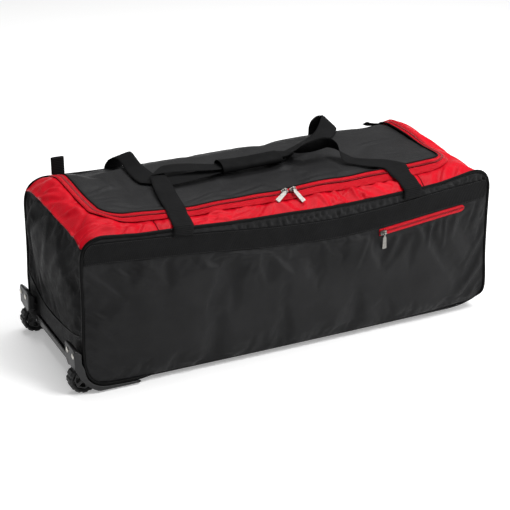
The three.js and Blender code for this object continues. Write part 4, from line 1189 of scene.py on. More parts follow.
wheel_pairs = gusset_end_pairs(-1, wheel_gusset_low.x - TUCK, gusset_low.x, wheel_gusset_high.y)
wheel_gusset_places = gusset_sheet(between(*wheel_pairs), WHEEL_GUSSET_FOLDS, END_GUSSET_SWELL, seed=6)
cloth_panel("gusset_wheel_cloth", wheel_gusset_places, "red_cloth", ["gusset_wheel_end"])
far_pairs = gusset_end_pairs(1, far_gusset_high.x + TUCK, gusset_high.x, far_gusset_high.y)
far_gusset_places = gusset_sheet(between(*far_pairs), FAR_GUSSET_FOLDS, END_GUSSET_SWELL, seed=7)
cloth_panel("gusset_far_cloth", far_gusset_places, "red_cloth", ["gusset_far_end"])
front_x = np.linspace(gusset_low.x, gusset_high.x, GUSSET_WIDE)
front_inner = np.stack([front_x, np.full(GUSSET_WIDE, LID_FRONT - GUSSET_INNER)], axis=1)
front_outer = np.stack([front_x, np.full(GUSSET_WIDE, GUSSET_EDGE)], axis=1)
front_pairs = between(front_inner, front_outer)
front_gusset_places = gusset_sheet(front_pairs, FRONT_GUSSET_FOLDS, FRONT_GUSSET_SWELL, seed=8)
cloth_panel("gusset_front_cloth", front_gusset_places, "red_cloth", ["gusset_front"])


# Piping round the long walls, tucked in along the bottom past the skid
PIPING_OUT = 0.004
PIPING_STEP = 0.005
PIPING_PASSES = 3
PIPING_SIDES = 10
PIPING_TUCK = 0.003
TUCK_TURN = 0.5
TUCK_TURN_BLEND = 0.4
TUCK_SKID_BLEND = 0.03


def wall_piping(name, node, panel, inward):
    """Piping round a long wall, which its cloth overhangs along the bottom."""
    low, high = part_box(panel)
    middle = np.array([(low.x + high.x) / 2, (low.z + high.z) / 2])
    reach = outline_reach(panel, WALL_AXES, middle)
    angles = np.arange(OUTLINE_TURNS) / OUTLINE_TURNS * TURN
    line = np.stack([middle[0] + reach * np.cos(angles), middle[1] + reach * np.sin(angles)], axis=1)
    line = softened(even_path(line, PIPING_STEP, True), PIPING_PASSES, True)
    ahead = directions_of(line, True)
    line = line + np.stack([ahead[:, 1], -ahead[:, 0]], axis=1) * PIPING_OUT
    piping_low, piping_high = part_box(node)
    y = (piping_low.y + piping_high.y) / 2
    skid_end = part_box("wheel_housing_front")[1].x
    level = np.clip((ahead[:, 0] - TUCK_TURN) / TUCK_TURN_BLEND, 0, 1)
    past_skid = np.clip((line[:, 0] - skid_end) / TUCK_SKID_BLEND, 0, 1)
    tuck = PIPING_TUCK * (level * past_skid)
    path = np.stack([line[:, 0], y + inward * tuck, line[:, 1] + tuck], axis=1)
    dress(cord_object(name, path, PIPING_RADIUS, PIPING_SIDES, True, OUT_BACK), "piping", node)


wall_piping("front_edge_piping", "front_piping", "front_panel", 1)
wall_piping("back_edge_piping", "back_piping", "back_panel", -1)

# Piping over the kick panel
KICK_PIPING_PASSES = 4
kick_low_edge, kick_high_edge = spans("kick_piping", END_AXES, end_stations)
kick_path = on_end(wheel_end)(end_stations, (kick_low_edge + kick_high_edge) / 2)
kick_line = softened(kick_path, KICK_PIPING_PASSES)
kick_cord = cord_object("kick_edge_piping", kick_line, KICK_PIPING_RADIUS, SMALL_PIPING_SIDES, False, OUT_FAR)
dress(kick_cord, "piping", "kick_piping")


# Webbing
STRAP_PARTS = 9
STRAP_EDGE_POWER = 6
STRAP_EDGE_LEAST = 0.02
BAND_STATIONS = 180
BAND_ROWS = 12


def strap_object(name, first, second):
    """A flat strap between two edge lines, with soft edges."""
    middle = (first + second) / 2
    ahead = directions_of(middle)
    across = second - first
    normal = unit(np.cross(across, ahead))
    parts = np.linspace(0, 1, STRAP_PARTS)
    edge = np.clip(1 - np.abs(2 * parts - 1) ** STRAP_EDGE_POWER, STRAP_EDGE_LEAST, 1)
    half = STRAP_THICK / 2 * np.sqrt(edge)
    flat = first[:, None] + across[:, None] * parts[None, :, None]
    rise = normal[:, None] * half[None, :, None]
    sections = np.concatenate([flat + rise, (flat - rise)[:, ::-1]], axis=1)
    along = np.concatenate([[0], np.cumsum(np.linalg.norm(np.diff(middle, axis=0), axis=1))])
    width = float(np.linalg.norm(across, axis=1).mean())
    rows = np.concatenate([parts, parts[::-1]]) * width
    uvs = np.stack(np.meshgrid(along, rows, indexing="ij"), axis=-1).reshape(-1, 2)
    piece = tube_object(name, sections, False, uvs)
    return piece


def band(name, node, relief, side):
    """A webbing band on a long wall, with a row of stitches along each edge."""
    stations, lows, highs = edge_run(node, BAND_STATIONS)
    x, z = columns(stations, lows, highs - lows, np.linspace(0, 1, BAND_ROWS))
    cloth_panel(name, off_wall(relief, side, x, z, BAND_LIFT), "webbing", [node])
    for edge in (lows + SEAM_MARGIN, highs - SEAM_MARGIN):
        stitches.append((off_wall(relief, side, stations, edge, BAND_LIFT), (0, side, 0)))


band("front_webbing_band", "front_band", front, -1)
band("back_webbing_band", "back_band", back, 1)

# Handle sections in millimetres from the middle of the lid and of the depth, with the lift over the top.
# Columns: first edge along, across, lift, second edge along, across, lift
FRONT_HANDLE_ROWS = [
    (-260, -170, -12, -219, -170, -15),
    (-260, -170.8, -3, -219, -170.8, -3),
    (-259, -168.8, 5, -218, -168.8, 5),
    (-258, -160, 7, -217, -160, 7),
    (-255, -137, 4.5, -215, -137, 4.5),
    (-251, -100, 4, -210, -100, 4),
    (-244, -55, 5.5, -203, -50, 5.5),
    (-236, -10, 9.2, -195, -2, 9.2),
    (-230, 14, 9.6, -192, 38, 9.6),
    (-225, 30, 11, -190, 64, 10.5),
    (-212, 30, 13.2, -176, 66, 12.4),
    (-170, 20, 16, -142, 54, 15),
    (-128, 7, 16.5, -116, 42, 15.5),
    (-90, -3, 17.2, -88, 33, 14.8),
    (-40, -1, 17.2, -40, 35, 14.6),
    (10, 2, 17, 10, 38, 14.6),
    (54, 5, 17.4, 54, 41, 15),
    (66, 1, 20.5, 68, 37, 15),
    (76, -7, 31, 80, 30, 14.5),
    (87, -12, 41, 93, 19, 13),
    (106, -12, 46.5, 112, 13, 12.8),
    (127, -10, 49, 127, 12, 13),
    (143, -10, 48, 145, 12.5, 14.5),
    (155, -13, 43, 158, 12, 16),
    (163, -22, 34, 170, 5, 13.5),
    (161, -35, 22, 179, -8, 10),
    (159, -48, 11.5, 186, -22, 7),
    (163, -58, 5.2, 193, -36, 4.6),
    (182, -80, 4, 216, -56, 4),
    (210, -104, 4, 246, -80, 4),
    (228, -128, 4.5, 268, -114, 4.5),
    (234, -147, 5, 273, -141, 5),
    (235, -160, 7, 275, -160, 7),
    (235, -168.8, 5, 275, -168.8, 5),
    (235, -170.8, -3, 275, -170.8, -3),
    (235, -170, -18, 275, -170, -16),
]
BACK_HANDLE_ROWS = [
    (-270, 170, -17, -230, 170, -17),
    (-270, 170.8, -3, -230, 170.8, -3),
    (-269, 169.4, 5, -230, 169.4, 6),
    (-267, 166, 12, -229, 165.5, 18),
    (-263, 159, 21, -227, 154, 28),
    (-257, 150, 24, -225, 140, 32),
    (-254, 137, 21, -223, 128, 28),
    (-252, 124, 14.5, -222, 114, 20.5),
    (-252, 105, 6.5, -220, 95, 12.5),
    (-253, 80, 3.6, -214, 70, 7.4),
    (-253, 57, 3.4, -208, 44, 4.2),
    (-251, 36, 3.4, -205, 12, 3.4),
    (-247, 24, 3.4, -203, -11, 3.4),
    (-238, 22, 5.8, -196, -13, 5.8),
    (-214, 24, 6.3, -174, -13, 6.3),
    (-160, 27, 7, -140, -9, 7.4),
    (-120, 29, 7.2, -114, -6, 8.4),
    (-90, 32, 7.2, -90, -4, 9.6),
    (-40, 35, 7.2, -40, -1, 9.7),
    (10, 38, 7.2, 10, 2, 9.7),
    (54, 41, 7.4, 54, 5, 9.8),
    (66, 46, 7.4, 66, 10, 10),
    (80, 52, 7, 80, 18, 10.5),
    (92, 57.5, 7, 94, 28, 13),
    (112, 66, 8, 120, 42, 18.5),
    (140, 80, 9.5, 160, 62, 13),
    (166, 95, 12, 196, 74, 6.5),
    (181, 106, 16, 214, 88, 3.8),
    (196, 120, 26, 230, 108, 4.6),
    (211, 138, 39, 241, 126, 7),
    (219, 151, 47, 246, 142, 9),
    (212, 159, 51, 243, 156, 17),
    (201, 163, 43.7, 239, 163, 20),
    (196, 167, 29, 236, 167, 18),
    (196, 169.6, 12, 236, 169.6, 9),
    (195, 171, -3, 235, 171, -3),
    (195, 170, -17, 235, 170, -17),
]


def over_top(along, across, lift):
    """A place in millimetres from the middle of the bag, lifted over its top."""
    x = MIDDLE_X + along / MM
    y = MIDDLE_Y + across / MM
    return np.array([x, y, float(roof.at(x, y)) + lift / MM])


LEAST_GAP = 1e-6


def blends(points, knots, t, gap):
    """Places between each two points, by how far a mark lies between their knots."""
    made = []
    for k in range(len(points) - 1):
        start = knots[k]
        end = knots[k + gap]
        made.append(((end - t) * points[k] + (t - start) * points[k + 1]) / (end - start))
    return made


def smooth_line(points, finer):
    """A curve through points that keeps close to them where they are unevenly spaced."""
    ends = [2 * points[0] - points[1], *points, 2 * points[-1] - points[-2]]
    line = []
    for four in zip(ends, ends[1:], ends[2:], ends[3:]):
        gaps = [max(np.linalg.norm(b - a), LEAST_GAP) ** 0.5 for a, b in zip(four, four[1:])]
        knots = np.cumsum([0] + gaps)
        for part in np.arange(finer) / finer:
            t = knots[1] + (knots[2] - knots[1]) * part
            pairs = blends(blends(four, knots, t, 1), knots, t, 2)
            line.extend(blends(pairs, knots[1:], t, 1))
    line.append(points[-1])
    return np.array(line)


STRAP_FINENESS = 6
TAB_FINENESS = 4


def handle(name, rows, node):
    edges = []
    for edge in (slice(0, 3), slice(3, 6)):
        line = smooth_line([np.array(row[edge], float) for row in rows], STRAP_FINENESS)
        edges.append(np.array([over_top(*place) for place in line]))
    dress(strap_object(name, *edges), "webbing", node)


handle("front_handle_strap", FRONT_HANDLE_ROWS, "front_handle")
handle("back_handle_strap", BACK_HANDLE_ROWS, "back_handle")


# Wrap round both handles, which gapes at its wheel end
WRAP_POWER = 2.5
WRAP_GAPE = 0.006
WRAP_GAPE_PART = 0.4
WRAP_SIDES = 48
END_REACH = 0.001
# Columns: part of the length, size of the section
WRAP_ROWS = [
    (0.2, 0.84), (0.02, 0.86), (0.0, 0.9), (-0.004, 0.95), (0.004, 0.99), (0.03, 1.0), (0.08, 0.985),
    (0.3, 1.0), (0.5, 0.99), (0.7, 1.0), (0.92, 0.985), (0.97, 1.0), (0.996, 0.99), (1.004, 0.92),
    (1.0, 0.84), (0.98, 0.8), (0.8, 0.8),
]


def wrap_ends():
    """Centres of both ends of the wrap's solid, and half the size of its first end."""
    low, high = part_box("handle_wrap")
    points = shape_of("handle_wrap")[0]
    rings = [points[np.abs(points[:, X] - x) < END_REACH] for x in (low.x, high.x)]
    lows = np.array([ring.min(axis=0) for ring in rings])
    highs = np.array([ring.max(axis=0) for ring in rings])
    centres = (lows + highs) / 2
    centres[:, X] = (low.x, high.x)
    return centres, (highs[0] - lows[0]) / 2


def wrap_object(name):
    ends, half = wrap_ends()
    angles = np.arange(WRAP_SIDES) / WRAP_SIDES * TURN
    across = np.cos(angles)
    up = np.sin(angles)
    size = (np.abs(across) ** WRAP_POWER + np.abs(up) ** WRAP_POWER) ** (1 / WRAP_POWER)
    rounds = np.stack([np.zeros(WRAP_SIDES), half[Y] * across / size, half[Z] * up / size], axis=1)
    sections = []
    for part, scale in WRAP_ROWS:
        section = ends[0] * (1 - part) + ends[1] * part + rounds * scale
        gape = np.clip(1 - part / WRAP_GAPE_PART, 0, 1)
        section[:, Z] += WRAP_GAPE * gape * np.clip(up, 0, 1)
        sections.append(section)
    return tube_object(name, np.array(sections), False)


wrap = dress(wrap_object("handle_wrap_pad"), "webbing", "handle_wrap")


# Tabs at the ends of the lid zip
TAB_BEND_POINTS = 9
TAB_STEP = 0.0015


def wheel_tab():
    """A loop of webbing that stands up from the top cloth."""
    low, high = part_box("wheel_end_tab")
    bend = (high.y - low.y) / 2 - STRAP_THICK / 2
    bend_z = high.z - bend - STRAP_THICK / 2
    middle_y = (low.y + high.y) / 2
    profile = [(middle_y - bend, low.z), (middle_y - bend, low.z + (high.z - low.z) / 2)]
    for angle in np.linspace(math.pi, 0, TAB_BEND_POINTS):
        profile.append((middle_y + bend * math.cos(angle), bend_z + bend * math.sin(angle)))
    profile.append((middle_y + bend, low.z))
    edges = []
    for x in (low.x, high.x):
        edges.append(even_path(np.array([(x, y, z) for y, z in profile]), TAB_STEP))
    return strap_object("wheel_tab_loop", *edges)


dress(wheel_tab(), "webbing", "wheel_end_tab")

# Columns: along, lift of the near edge, lift of the back edge, in millimetres
FAR_TAB_ROWS = [(366, 2.6, 3.4), (356, 2.8, 3.6), (344, 3.6, 4.6), (332, 5.5, 7), (322, 9, 12)]
FAR_TAB_ACROSS = (136, 157)
far_tab_edges = [
    smooth_line([over_top(row[0], across, row[column]) for row in FAR_TAB_ROWS], TAB_FINENESS)
    for column, across in enumerate(FAR_TAB_ACROSS, start=1)
]
dress(strap_object("far_tab_strap", *far_tab_edges), "webbing", "far_end_tab")


# Zip on the front wall, columns: part of the width, height over the cloth
POCKET_STATIONS = 70
POCKET_TAPE_ROWS = [
    (0, 0.0004),
    (0.06, 0.0018),
    (0.2, 0.0022),
    (0.36, 0.0017),
    (0.42, 0.0009),
    (0.58, 0.0009),
    (0.64, 0.0017),
    (0.8, 0.0022),
    (0.94, 0.0018),
    (1, 0.0004),
]


def pocket_zip():
    stations, lows, highs = edge_run("pocket_zip_tape", POCKET_STATIONS)
    parts, lifts = np.array(POCKET_TAPE_ROWS).T
    x, z = columns(stations, lows, highs - lows, parts)
    tape = off_wall(front, -1, x, z, lifts[None, :])
    cloth_panel("pocket_tape", tape, "red_zip_tape", ["pocket_zip_tape"])
    line = off_wall(front, -1, stations, (lows + highs) / 2, POCKET_COIL_LIFT)
    small_part(coil_object("pocket_coil", even_path(line, TOOTH_PITCH), OUT_FRONT), "coil")


pocket_zip()


# Hard parts that keep their solids
BEVEL_ANGLE = math.radians(35)


def keep(name, slot, width, segments, look):
    node = nodes[name]
    paint(node, look)
    edge = node.modifiers.new("edge", "BEVEL")
    edge.width = width
    edge.segments = segments
    edge.limit_method = "ANGLE"
    edge.angle_limit = BEVEL_ANGLE


# Columns: pieces, slot, width of the softened edge, its segments, look
KEPT_PARTS = [
    # The sliders and pulls take the nickel painted darker: painted shade
    (("lid_slider_left", "lid_slider_right", "pocket_slider"), "nickel", 0.0005, 2, "pull_nickel"),
    (("lid_pull_left", "lid_pull_right", "pocket_pull"), "nickel", 0.0004, 2, "pull_nickel"),
    (("axle_front", "axle_back"), "axle_steel", 0.0004, 2, "axle_steel"),
    (("base_edge_trim",), "trim_plastic", 0.0012, 3, "trim_plastic"),
    (("hub_front", "hub_back"), "guard_plastic", 0.0006, 2, "guard_plastic"),
]
for names, *finish in KEPT_PARTS:
    for name in names:
        keep(name, *finish)


def moulded_copy(name, node, slot, body, voxel, softness):
    """A copy of a solid with the soft edges of a moulding."""
    points, triangles = shape_of(node)
    rough = mesh_object(name + "_rough", points, triangles)
    remesh = rough.modifiers.new("remesh", "REMESH")
    remesh.mode = "VOXEL"
    remesh.voxel_size = voxel
    remesh.use_smooth_shade = True
    soften = rough.modifiers.new("soften", "SMOOTH")
    soften.factor = 0.5
    soften.iterations = softness
    graph = bpy.context.evaluated_depsgraph_get()
    mesh = bpy.data.meshes.new_from_object(rough.evaluated_get(graph))
    bpy.data.objects.remove(rough)
    piece = bpy.data.objects.new(name, mesh)
    bpy.context.scene.collection.objects.link(piece)
    dress(piece, slot, node, body=body)


for side in ("front", "back"):
    moulded_copy("corner_guard_" + side, "wheel_housing_" + side, "guard_plastic", BAG,
                 voxel=0.0011, softness=9)
    moulded_copy("tyre_tread_" + side, "tyre_" + side, "tyre_rubber", side + "_wheel",
                 voxel=0.0008, softness=5)


# Rivets, columns: share of the radius, share of the height
RIVET_ROWS = [(1.0, 0.0), (1.0, 0.25), (0.94, 0.42), (0.78, 0.6), (0.5, 0.84), (0.2, 0.97), (0.02, 1.0)]
RIVET_SIDES = 24
RIVET_GROW = 0.0004


def rivet(node):
    low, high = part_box(node)
    radius = (high.y - low.y) / 2 + RIVET_GROW
    middle_y = (low.y + high.y) / 2
    middle_z = (low.z + high.z) / 2
    angles = np.arange(RIVET_SIDES) / RIVET_SIDES * TURN
    sections = []
    for wide, tall in RIVET_ROWS:
        x = high.x - (high.x - low.x) * tall
        reach = radius * wide
        sections.append([(x, middle_y + reach * math.cos(angle), middle_z + reach * math.sin(angle))
                         for angle in angles])
    dress(tube_object(node + "_head", np.array(sections), False), "nickel", node)


for name in ("rivet_front_outer", "rivet_front_inner", "rivet_back_outer", "rivet_back_inner"):
    rivet(name)


# Stitches
STITCH_PITCH = 0.0045
STITCH_LENGTH = 0.0032
STITCH_RADIUS = 0.0004
# Columns: part of the length, share of the radius
STITCH_ROWS = [(-0.5, 0.3), (-0.3, 1.0), (0.3, 1.0), (0.5, 0.3)]
STITCH_SIDES = 5


def stitch_lines(name, lines, look):
    """Rows of short threads that lie on cloth, each line with the direction that its cloth faces."""
    points = []
    faces = []
    for line, facing in lines:
        path = even_path(line, STITCH_PITCH)
        ahead = directions_of(path)
        side = unit(np.cross(np.broadcast_to(np.array(facing, float), path.shape), ahead))
        up = np.cross(ahead, side)
        for place, forward, across, over in zip(path, ahead, side, up):
            start = len(points)
            for part, share in STITCH_ROWS:
                for turn in range(STITCH_SIDES):
                    angle = turn / STITCH_SIDES * TURN
                    ring = across * math.cos(angle) + over * math.sin(angle)
                    points.append(place + forward * part * STITCH_LENGTH + ring * share * STITCH_RADIUS)
            for row in range(len(STITCH_ROWS) - 1):
                for turn in range(STITCH_SIDES):
                    here = start + row * STITCH_SIDES + turn
                    beside = start + row * STITCH_SIDES + (turn + 1) % STITCH_SIDES
                    faces.append((here, beside, beside + STITCH_SIDES, here + STITCH_SIDES))
    small_part(mesh_object(name, points, faces), look)


# Slack cloth
TAPE_SEWN = 0.4


def sewn_edges(places):
    """Marks the outer rows of a grid, which are sewn down."""
    sewn = np.ones(places.shape[:2], bool)
    sewn[1:-1, 1:-1] = False
    return sewn


def gusset_sewn(places):
    """Marks the edges of a gusset and its rows under the zip tape."""
    sewn = sewn_edges(places)
    sewn[:, near_tape(places.shape[1]) > TAPE_SEWN] = True
    return sewn


# Puckers over a webbing band: lengths in millimetres, height in metres
STRIP_RISE = 5
STRIP_EDGE_ROWS = 4
STRIP_DRIFT = 9
STRIP_DRIFT_LENGTHS = (60, 140)
STRIP_SLANT = 0.6
STRIP_LONG = 17
STRIP_SHORT = 10.5
STRIP_SHORT_SHARE = 0.6
STRIP_HEIGHT = 0.0017


def strip_puckers(node, seed):
    """Small puckers of the wall between the webbing band and the piping over it."""
    stations, _, highs = edge_run(node, STRIP_STATIONS)

    def depth(places):
        x = places[..., X]
        last = places.shape[1] - 1
        over = (places[..., Z] - np.interp(x, stations, highs)) * MM
        from_edge = np.clip((last - np.arange(last + 1)) / STRIP_EDGE_ROWS, 0, 1)
        across = np.clip(over / STRIP_RISE, 0, 1) * from_edge
        along = x * MM
        drift = STRIP_DRIFT * ripple(along, over, seed, *STRIP_DRIFT_LENGTHS)
        long_waves = np.sin((along + drift + STRIP_SLANT * over) / STRIP_LONG * TURN)
        short_waves = np.sin((along - drift) / STRIP_SHORT * TURN)
        return across * (long_waves + STRIP_SHORT_SHARE * short_waves) * STRIP_HEIGHT
    return depth


# Puckers along a gusset's seams, in millimetres, with a second set that leans the other way
PUCKER_SLANT = 14
PUCKER_DRIFT = 6
PUCKER_SPREAD = 30
PUCKER_DRIFT_LENGTHS = (40, 110)
COUNTER_SLANT = 1.4
COUNTER_LENGTH = 0.62
COUNTER_SHARE = 0.7
PATCH_MEAN = 0.6
PATCH_SWING = 0.4
PATCH_LENGTHS = (60, 160)
PUCKER_END_RISE = 8


def seam_puckers(seed, length, height, reach):
    """Small puckers along the two long seams of a strip of cloth."""
    def depth(places):
        steps = np.linalg.norm(np.diff(places, axis=0), axis=2).mean(axis=1)
        along = np.concatenate([[0], np.cumsum(steps)])[:, None] * MM
        part = np.linspace(0, 1, places.shape[1])[None, :]
        slant = PUCKER_SLANT * part
        drift = PUCKER_DRIFT * ripple(along + 0 * part, PUCKER_SPREAD * part, seed, *PUCKER_DRIFT_LENGTHS)
        waves = np.sin((along + slant + drift) / length * TURN)
        counter = np.sin((along - COUNTER_SLANT * slant - drift) / (length * COUNTER_LENGTH) * TURN)
        waves = waves + COUNTER_SHARE * counter
        window = np.exp(-part / reach) + np.exp(-(1 - part) / reach)
        patches = PATCH_MEAN + PATCH_SWING * ripple(along + 0 * part, 0 * part, seed + 1, *PATCH_LENGTHS)
        ends = np.clip(np.minimum(part, 1 - part) * PUCKER_END_RISE, 0, 1)
        return waves * window * patches * ends * height
    return depth


CREASE_MARGIN = 0.006


def wall_creases(depth, rows):
    """Puckers and narrow creases together, with none of the creases under the webbing or the zip."""
    def both(places):
        free = 1 - within("front_band", places, CREASE_MARGIN)
        free = free * (1 - within("pocket_zip_tape", places, CREASE_MARGIN))
        return depth(places) + free * fold_depth(*millimetres(places, WALL_AXES), rows) / MM
    return both


def top_creases(rows):
    """Narrow creases of cloth on the top of the bag, which end at its seams."""
    def depth(places):
        return edge_window(places.shape) * fold_depth(*millimetres(places, TOP_AXES), rows) / MM
    return depth


def gusset_creases(puckered, rows):
    """Puckers along a gusset's seams, and narrow creases that start past the zip tape."""
    creased = top_creases(rows)

    def depth(places):
        return puckered(places) + creased(places) * (1 - near_tape(places.shape[1]))
    return depth


puckers["front_cloth"] = wall_creases(strip_puckers("front_band", seed=21), FRONT_CREASES)
puckers["lid_cloth"] = top_creases(LID_CREASES)
puckers["back_cloth"] = strip_puckers("back_band", seed=22)
# Columns: piece, seed, length of a pucker, its height, its reach as a part of the width, creases
GUSSET_PUCKERS = [
    ("gusset_front_cloth", 23, 30, 0.0005, 0.3, FRONT_GUSSET_CREASES),
    ("gusset_wheel_cloth", 24, 34, 0.0005, 0.15, WHEEL_GUSSET_CREASES),
    ("gusset_far_cloth", 25, 34, 0.0004, 0.15, FAR_GUSSET_CREASES),
]
for name, *pucker, creases in GUSSET_PUCKERS:
    puckers[name] = gusset_creases(seam_puckers(*pucker), creases)

SETTLE_FRAMES = 20


def slacken(piece, sewn, slack, bend, pressure, cap):
    """Readies a cloth to buckle between its sewn places, each of which may move as far as a cap."""
    group = piece.vertex_groups.new(name="sewn")
    group.add(np.flatnonzero(sewn.ravel()).tolist(), 1.0, "REPLACE")
    cloth = piece.modifiers.new("settle", "CLOTH")
    settings = cloth.settings
    settings.quality = 6
    settings.mass = 0.15
    settings.tension_stiffness = 25
    settings.compression_stiffness = 25
    settings.shear_stiffness = 10
    settings.bending_stiffness = bend
    settings.vertex_group_mass = "sewn"
    settings.shrink_min = -slack
    settings.effector_weights.gravity = 0
    settings.use_pressure = True
    settings.uniform_pressure_force = pressure
    cloth.collision_settings.use_collision = False
    cloth.point_cache.frame_start = 1
    cloth.point_cache.frame_end = SETTLE_FRAMES
    slack_pieces.append((piece, cap))


def positions(mesh):
    values = np.zeros(len(mesh.vertices) * 3, np.float32)
    mesh.vertices.foreach_get("co", values)
    return values.reshape(-1, 3).astype(float)


def settle():
    """Lets slack cloth buckle between its seams, then keeps the shape without the simulation."""
    for moment in range(1, SETTLE_FRAMES + 1):
        bpy.context.scene.frame_set(moment)
    graph = bpy.context.evaluated_depsgraph_get()
    shapes = [positions(piece.evaluated_get(graph).data) for piece, cap in slack_pieces]
    for (piece, cap), shape in zip(slack_pieces, shapes):
        rest = positions(piece.data)
        moved = shape - rest
        far = np.maximum(np.linalg.norm(moved, axis=1, keepdims=True), TINY)
        kept = rest + moved * np.minimum(1, cap / far)
        piece.modifiers.remove(piece.modifiers["settle"])
        piece.data.vertices.foreach_set("co", kept.astype(np.float32).ravel())
        piece.data.update()
    bpy.context.scene.frame_set(1)


BAND_MARGIN = 0.004
ZIP_MARGIN = 0.002
GUSSET_SLACK = (0.012, 4.0, 0.0, 0.002)

under_band = within("front_band", front_places, BAND_MARGIN) > 0
under_zip = within("pocket_zip_tape", front_places, ZIP_MARGIN) > 0
front_sewn = sewn_edges(front_places) | under_band | under_zip
back_sewn = sewn_edges(back_places) | (within("back_band", back_places, BAND_MARGIN) > 0)
# Columns: piece, sewn places, slack, stiffness in bending, pressure, largest movement
slack_rows = [
    ("front_cloth", front_sewn, 0.025, 0.6, 0.4, 0.007),
    ("back_cloth", back_sewn, 0.025, 0.6, 0.4, 0.006),
    ("lid_cloth", sewn_edges(lid_places), 0.008, 0.8, 0.0, 0.002),
    ("wheel_end_cloth", sewn_edges(wheel_end_places), 0.022, 0.8, 0.2, 0.006),
    ("far_end_cloth", sewn_edges(far_places), 0.022, 0.8, 0.2, 0.006),
    ("gusset_wheel_cloth", gusset_sewn(wheel_gusset_places), *GUSSET_SLACK),
    ("gusset_far_cloth", gusset_sewn(far_gusset_places), *GUSSET_SLACK),
    ("gusset_front_cloth", gusset_sewn(front_gusset_places), *GUSSET_SLACK),
]
for name, *row in slack_rows:
    slacken(bpy.data.objects[name], *row)
settle()


# Finer cloth
def halved(places):
    """A grid with a new row between each two, softened as a subdivision does."""
    for axis in (0, 1):
        places = np.moveaxis(places, axis, 0)
        middles = (places[:-1] + places[1:]) / 2
        finer = np.empty((len(places) * 2 - 1, *places.shape[1:]))
        finer[0::2] = places
        finer[1::2] = middles
        finer[2:-2:2] = (middles[:-1] + 2 * places[1:-1] + middles[1:]) / 4
        places = np.moveaxis(finer, 0, axis)
    return places


def sheet_normals(places):
    along = np.gradient(places, axis=0)
    across = np.gradient(places, axis=1)
    normals = unit(np.cross(along, across))
    if np.sum(normals * (places - BAG_MIDDLE)) < 0:
        normals = -normals
    return normals


def refine(piece):
    places = halved(positions(piece.data).reshape(*grids[piece.name], 3))
    if piece.name in puckers:
        places = places + puckers[piece.name](places)[..., None] * sheet_normals(places)
    finer = grid_object(piece.name + "_fine", places)
    finer.data.materials.append(piece.data.materials[0])
    piece.data = finer.data
    bpy.data.objects.remove(finer)
    shell = piece.modifiers.new("thickness", "SOLIDIFY")
    shell.thickness = CLOTH_THICK
    shell.offset = -1


for piece in cloth_pieces:
    refine(piece)


# Seams
STITCH_SEARCH = 0.03
LID_STITCH_IN = -0.006
KICK_STITCH_RISE = 0.0055
INNER_TAPE_STITCH = 0.0045
OUTER_TAPE_STITCH = 0.0182
POCKET_STITCH_PARTS = (0.16, 0.84)
POCKET_STITCH_MARGIN = 0.002
SEAM_SHADOW_POINTS = 30
SEAM_SHADOW_SIDES = 6


def laid_on(name, line, facing):
    """A line of places moved onto a cloth along the direction that the cloth faces."""
    mesh = bpy.data.objects[name].data
    faces = [list(polygon.vertices) for polygon in mesh.polygons]
    tree = BVHTree.FromPolygons(positions(mesh).tolist(), faces)
    outward = Vector(facing)
    laid = []
    for place in line:
        hit = tree.ray_cast(Vector(place) + outward * STITCH_SEARCH, -outward, 2 * STITCH_SEARCH)[0]
        if hit is not None:
            laid.append(list(hit))
    return np.array(laid), facing


def lid_seam(cloth, away):
    return laid_on(cloth, raised(lid_edge(away, TAPE_STEP), 0.0), UP)


def kick_seam(cloth, rise):
    return laid_on(cloth, kick_path + np.array([0, 0, rise]), OUT_WHEELS)


def pocket_seam(part):
    stations, lows, highs = edge_run("pocket_zip_tape", STRIP_STATIONS, POCKET_STITCH_MARGIN)
    line = on_wall(front)(stations, lows + (highs - lows) * part)
    return laid_on("pocket_tape", line, OUT_FRONT)


def seam_shadow_line(name, x):
    """A dark cord across the gusset, from the piping of the front wall to the zip tape: painted shadow in the
    groove of the seam.
    """
    y = np.linspace(gusset_low.y, LID_FRONT - OUTER_TAPE_ROWS[-1][0], SEAM_SHADOW_POINTS)
    line = on_roof(np.full(SEAM_SHADOW_POINTS, x), y)
    path = laid_on("gusset_front_cloth", line, UP)[0]
    small_part(cord_object(name, path, SEAM_SHADOW_RADIUS, SEAM_SHADOW_SIDES, False, OUT_FAR), "red_seam")


# Dark cords along the gusset's two seams: painted shadow in the grooves where its pieces meet
seam_shadow_line("seam_shadow_left", gusset_low.x + EDGE_STEP)
seam_shadow_line("seam_shadow_right", gusset_high.x - EDGE_STEP)
cloth_lines = [
    lid_seam("lid_cloth", LID_STITCH_IN),
    kick_seam("wheel_end_cloth", KICK_STITCH_RISE),
    kick_seam("kick_cloth", -KICK_STITCH_RISE),
]
tape_lines = [
    lid_seam("lid_tape_inner", INNER_TAPE_STITCH),
    lid_seam("lid_tape_outer", OUTER_TAPE_STITCH),
    *[pocket_seam(part) for part in POCKET_STITCH_PARTS],
]
stitch_lines("webbing_stitches", stitches, "thread")
stitch_lines("cloth_stitches", cloth_lines, "thread")
stitch_lines("tape_stitches", tape_lines, "red_thread")


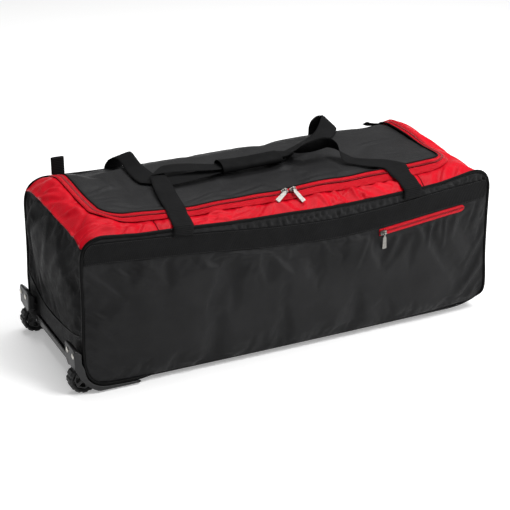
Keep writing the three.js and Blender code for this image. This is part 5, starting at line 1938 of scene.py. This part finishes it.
# Floor, light and camera
FLOOR_HALF = 9.0
FLOOR_TONE = (0.9, 0.9, 0.9)
FLOOR_ROUGHNESS = 0.85
FLOOR_GLOW = 0.3
WORLD_STRENGTH = 0.26
WHITE = (1, 1, 1, 1)
SENSOR_WIDTH = 36
# Columns: name, place, aim, size, power
SOFTBOXES = [
    ("key_light", (1.2, -1.8, 3.2), (0, 0, 0.2), (1.3, 1.3), 90),
    ("side_light", (2.6, -1.2, 0.9), (0, -0.1, 0.15), (0.7, 0.7), 30),
    ("top_light", (0.3, 0.7, 3.2), (0, 0, 0.2), (2.4, 1.5), 72),
]

floor = mesh_object("floor", [(a * FLOOR_HALF, b * FLOOR_HALF, 0) for a, b in SQUARE], [(0, 1, 2, 3)])
floor_look, _, floor_shader = blank("floor", FLOOR_TONE, FLOOR_ROUGHNESS)
floor_shader.inputs["Emission Color"].default_value = WHITE
floor_shader.inputs["Emission Strength"].default_value = FLOOR_GLOW
floor.data.materials.append(floor_look)

scene = bpy.context.scene
world = bpy.data.worlds.new("studio")
world.use_nodes = True
world.node_tree.nodes["Background"].inputs["Color"].default_value = WHITE
world.node_tree.nodes["Background"].inputs["Strength"].default_value = WORLD_STRENGTH
scene.world = world
scene.view_settings.view_transform = "Standard"
scene.view_settings.look = "None"


def softbox(name, place, aim, size, power):
    data = bpy.data.lights.new(name, "AREA")
    data.shape = "RECTANGLE"
    data.size = size[0]
    data.size_y = size[1]
    data.energy = power
    lamp = bpy.data.objects.new(name, data)
    scene.collection.objects.link(lamp)
    lamp.location = place
    lamp.rotation_mode = "QUATERNION"
    lamp.rotation_quaternion = (Vector(aim) - Vector(place)).to_track_quat("-Z", "Y")


for row in SOFTBOXES:
    softbox(*row)

camera_data = bpy.data.cameras.new("camera")
camera_data.lens = CAMERA_LENS
camera_data.sensor_width = SENSOR_WIDTH
camera = bpy.data.objects.new("camera", camera_data)
scene.collection.objects.link(camera)
camera.location = CAMERA_TARGET + CAMERA_BACK.normalized() * CAMERA_DISTANCE
camera.rotation_mode = "QUATERNION"
camera.rotation_quaternion = (-CAMERA_BACK).to_track_quat("-Z", "Y")
scene.camera = camera
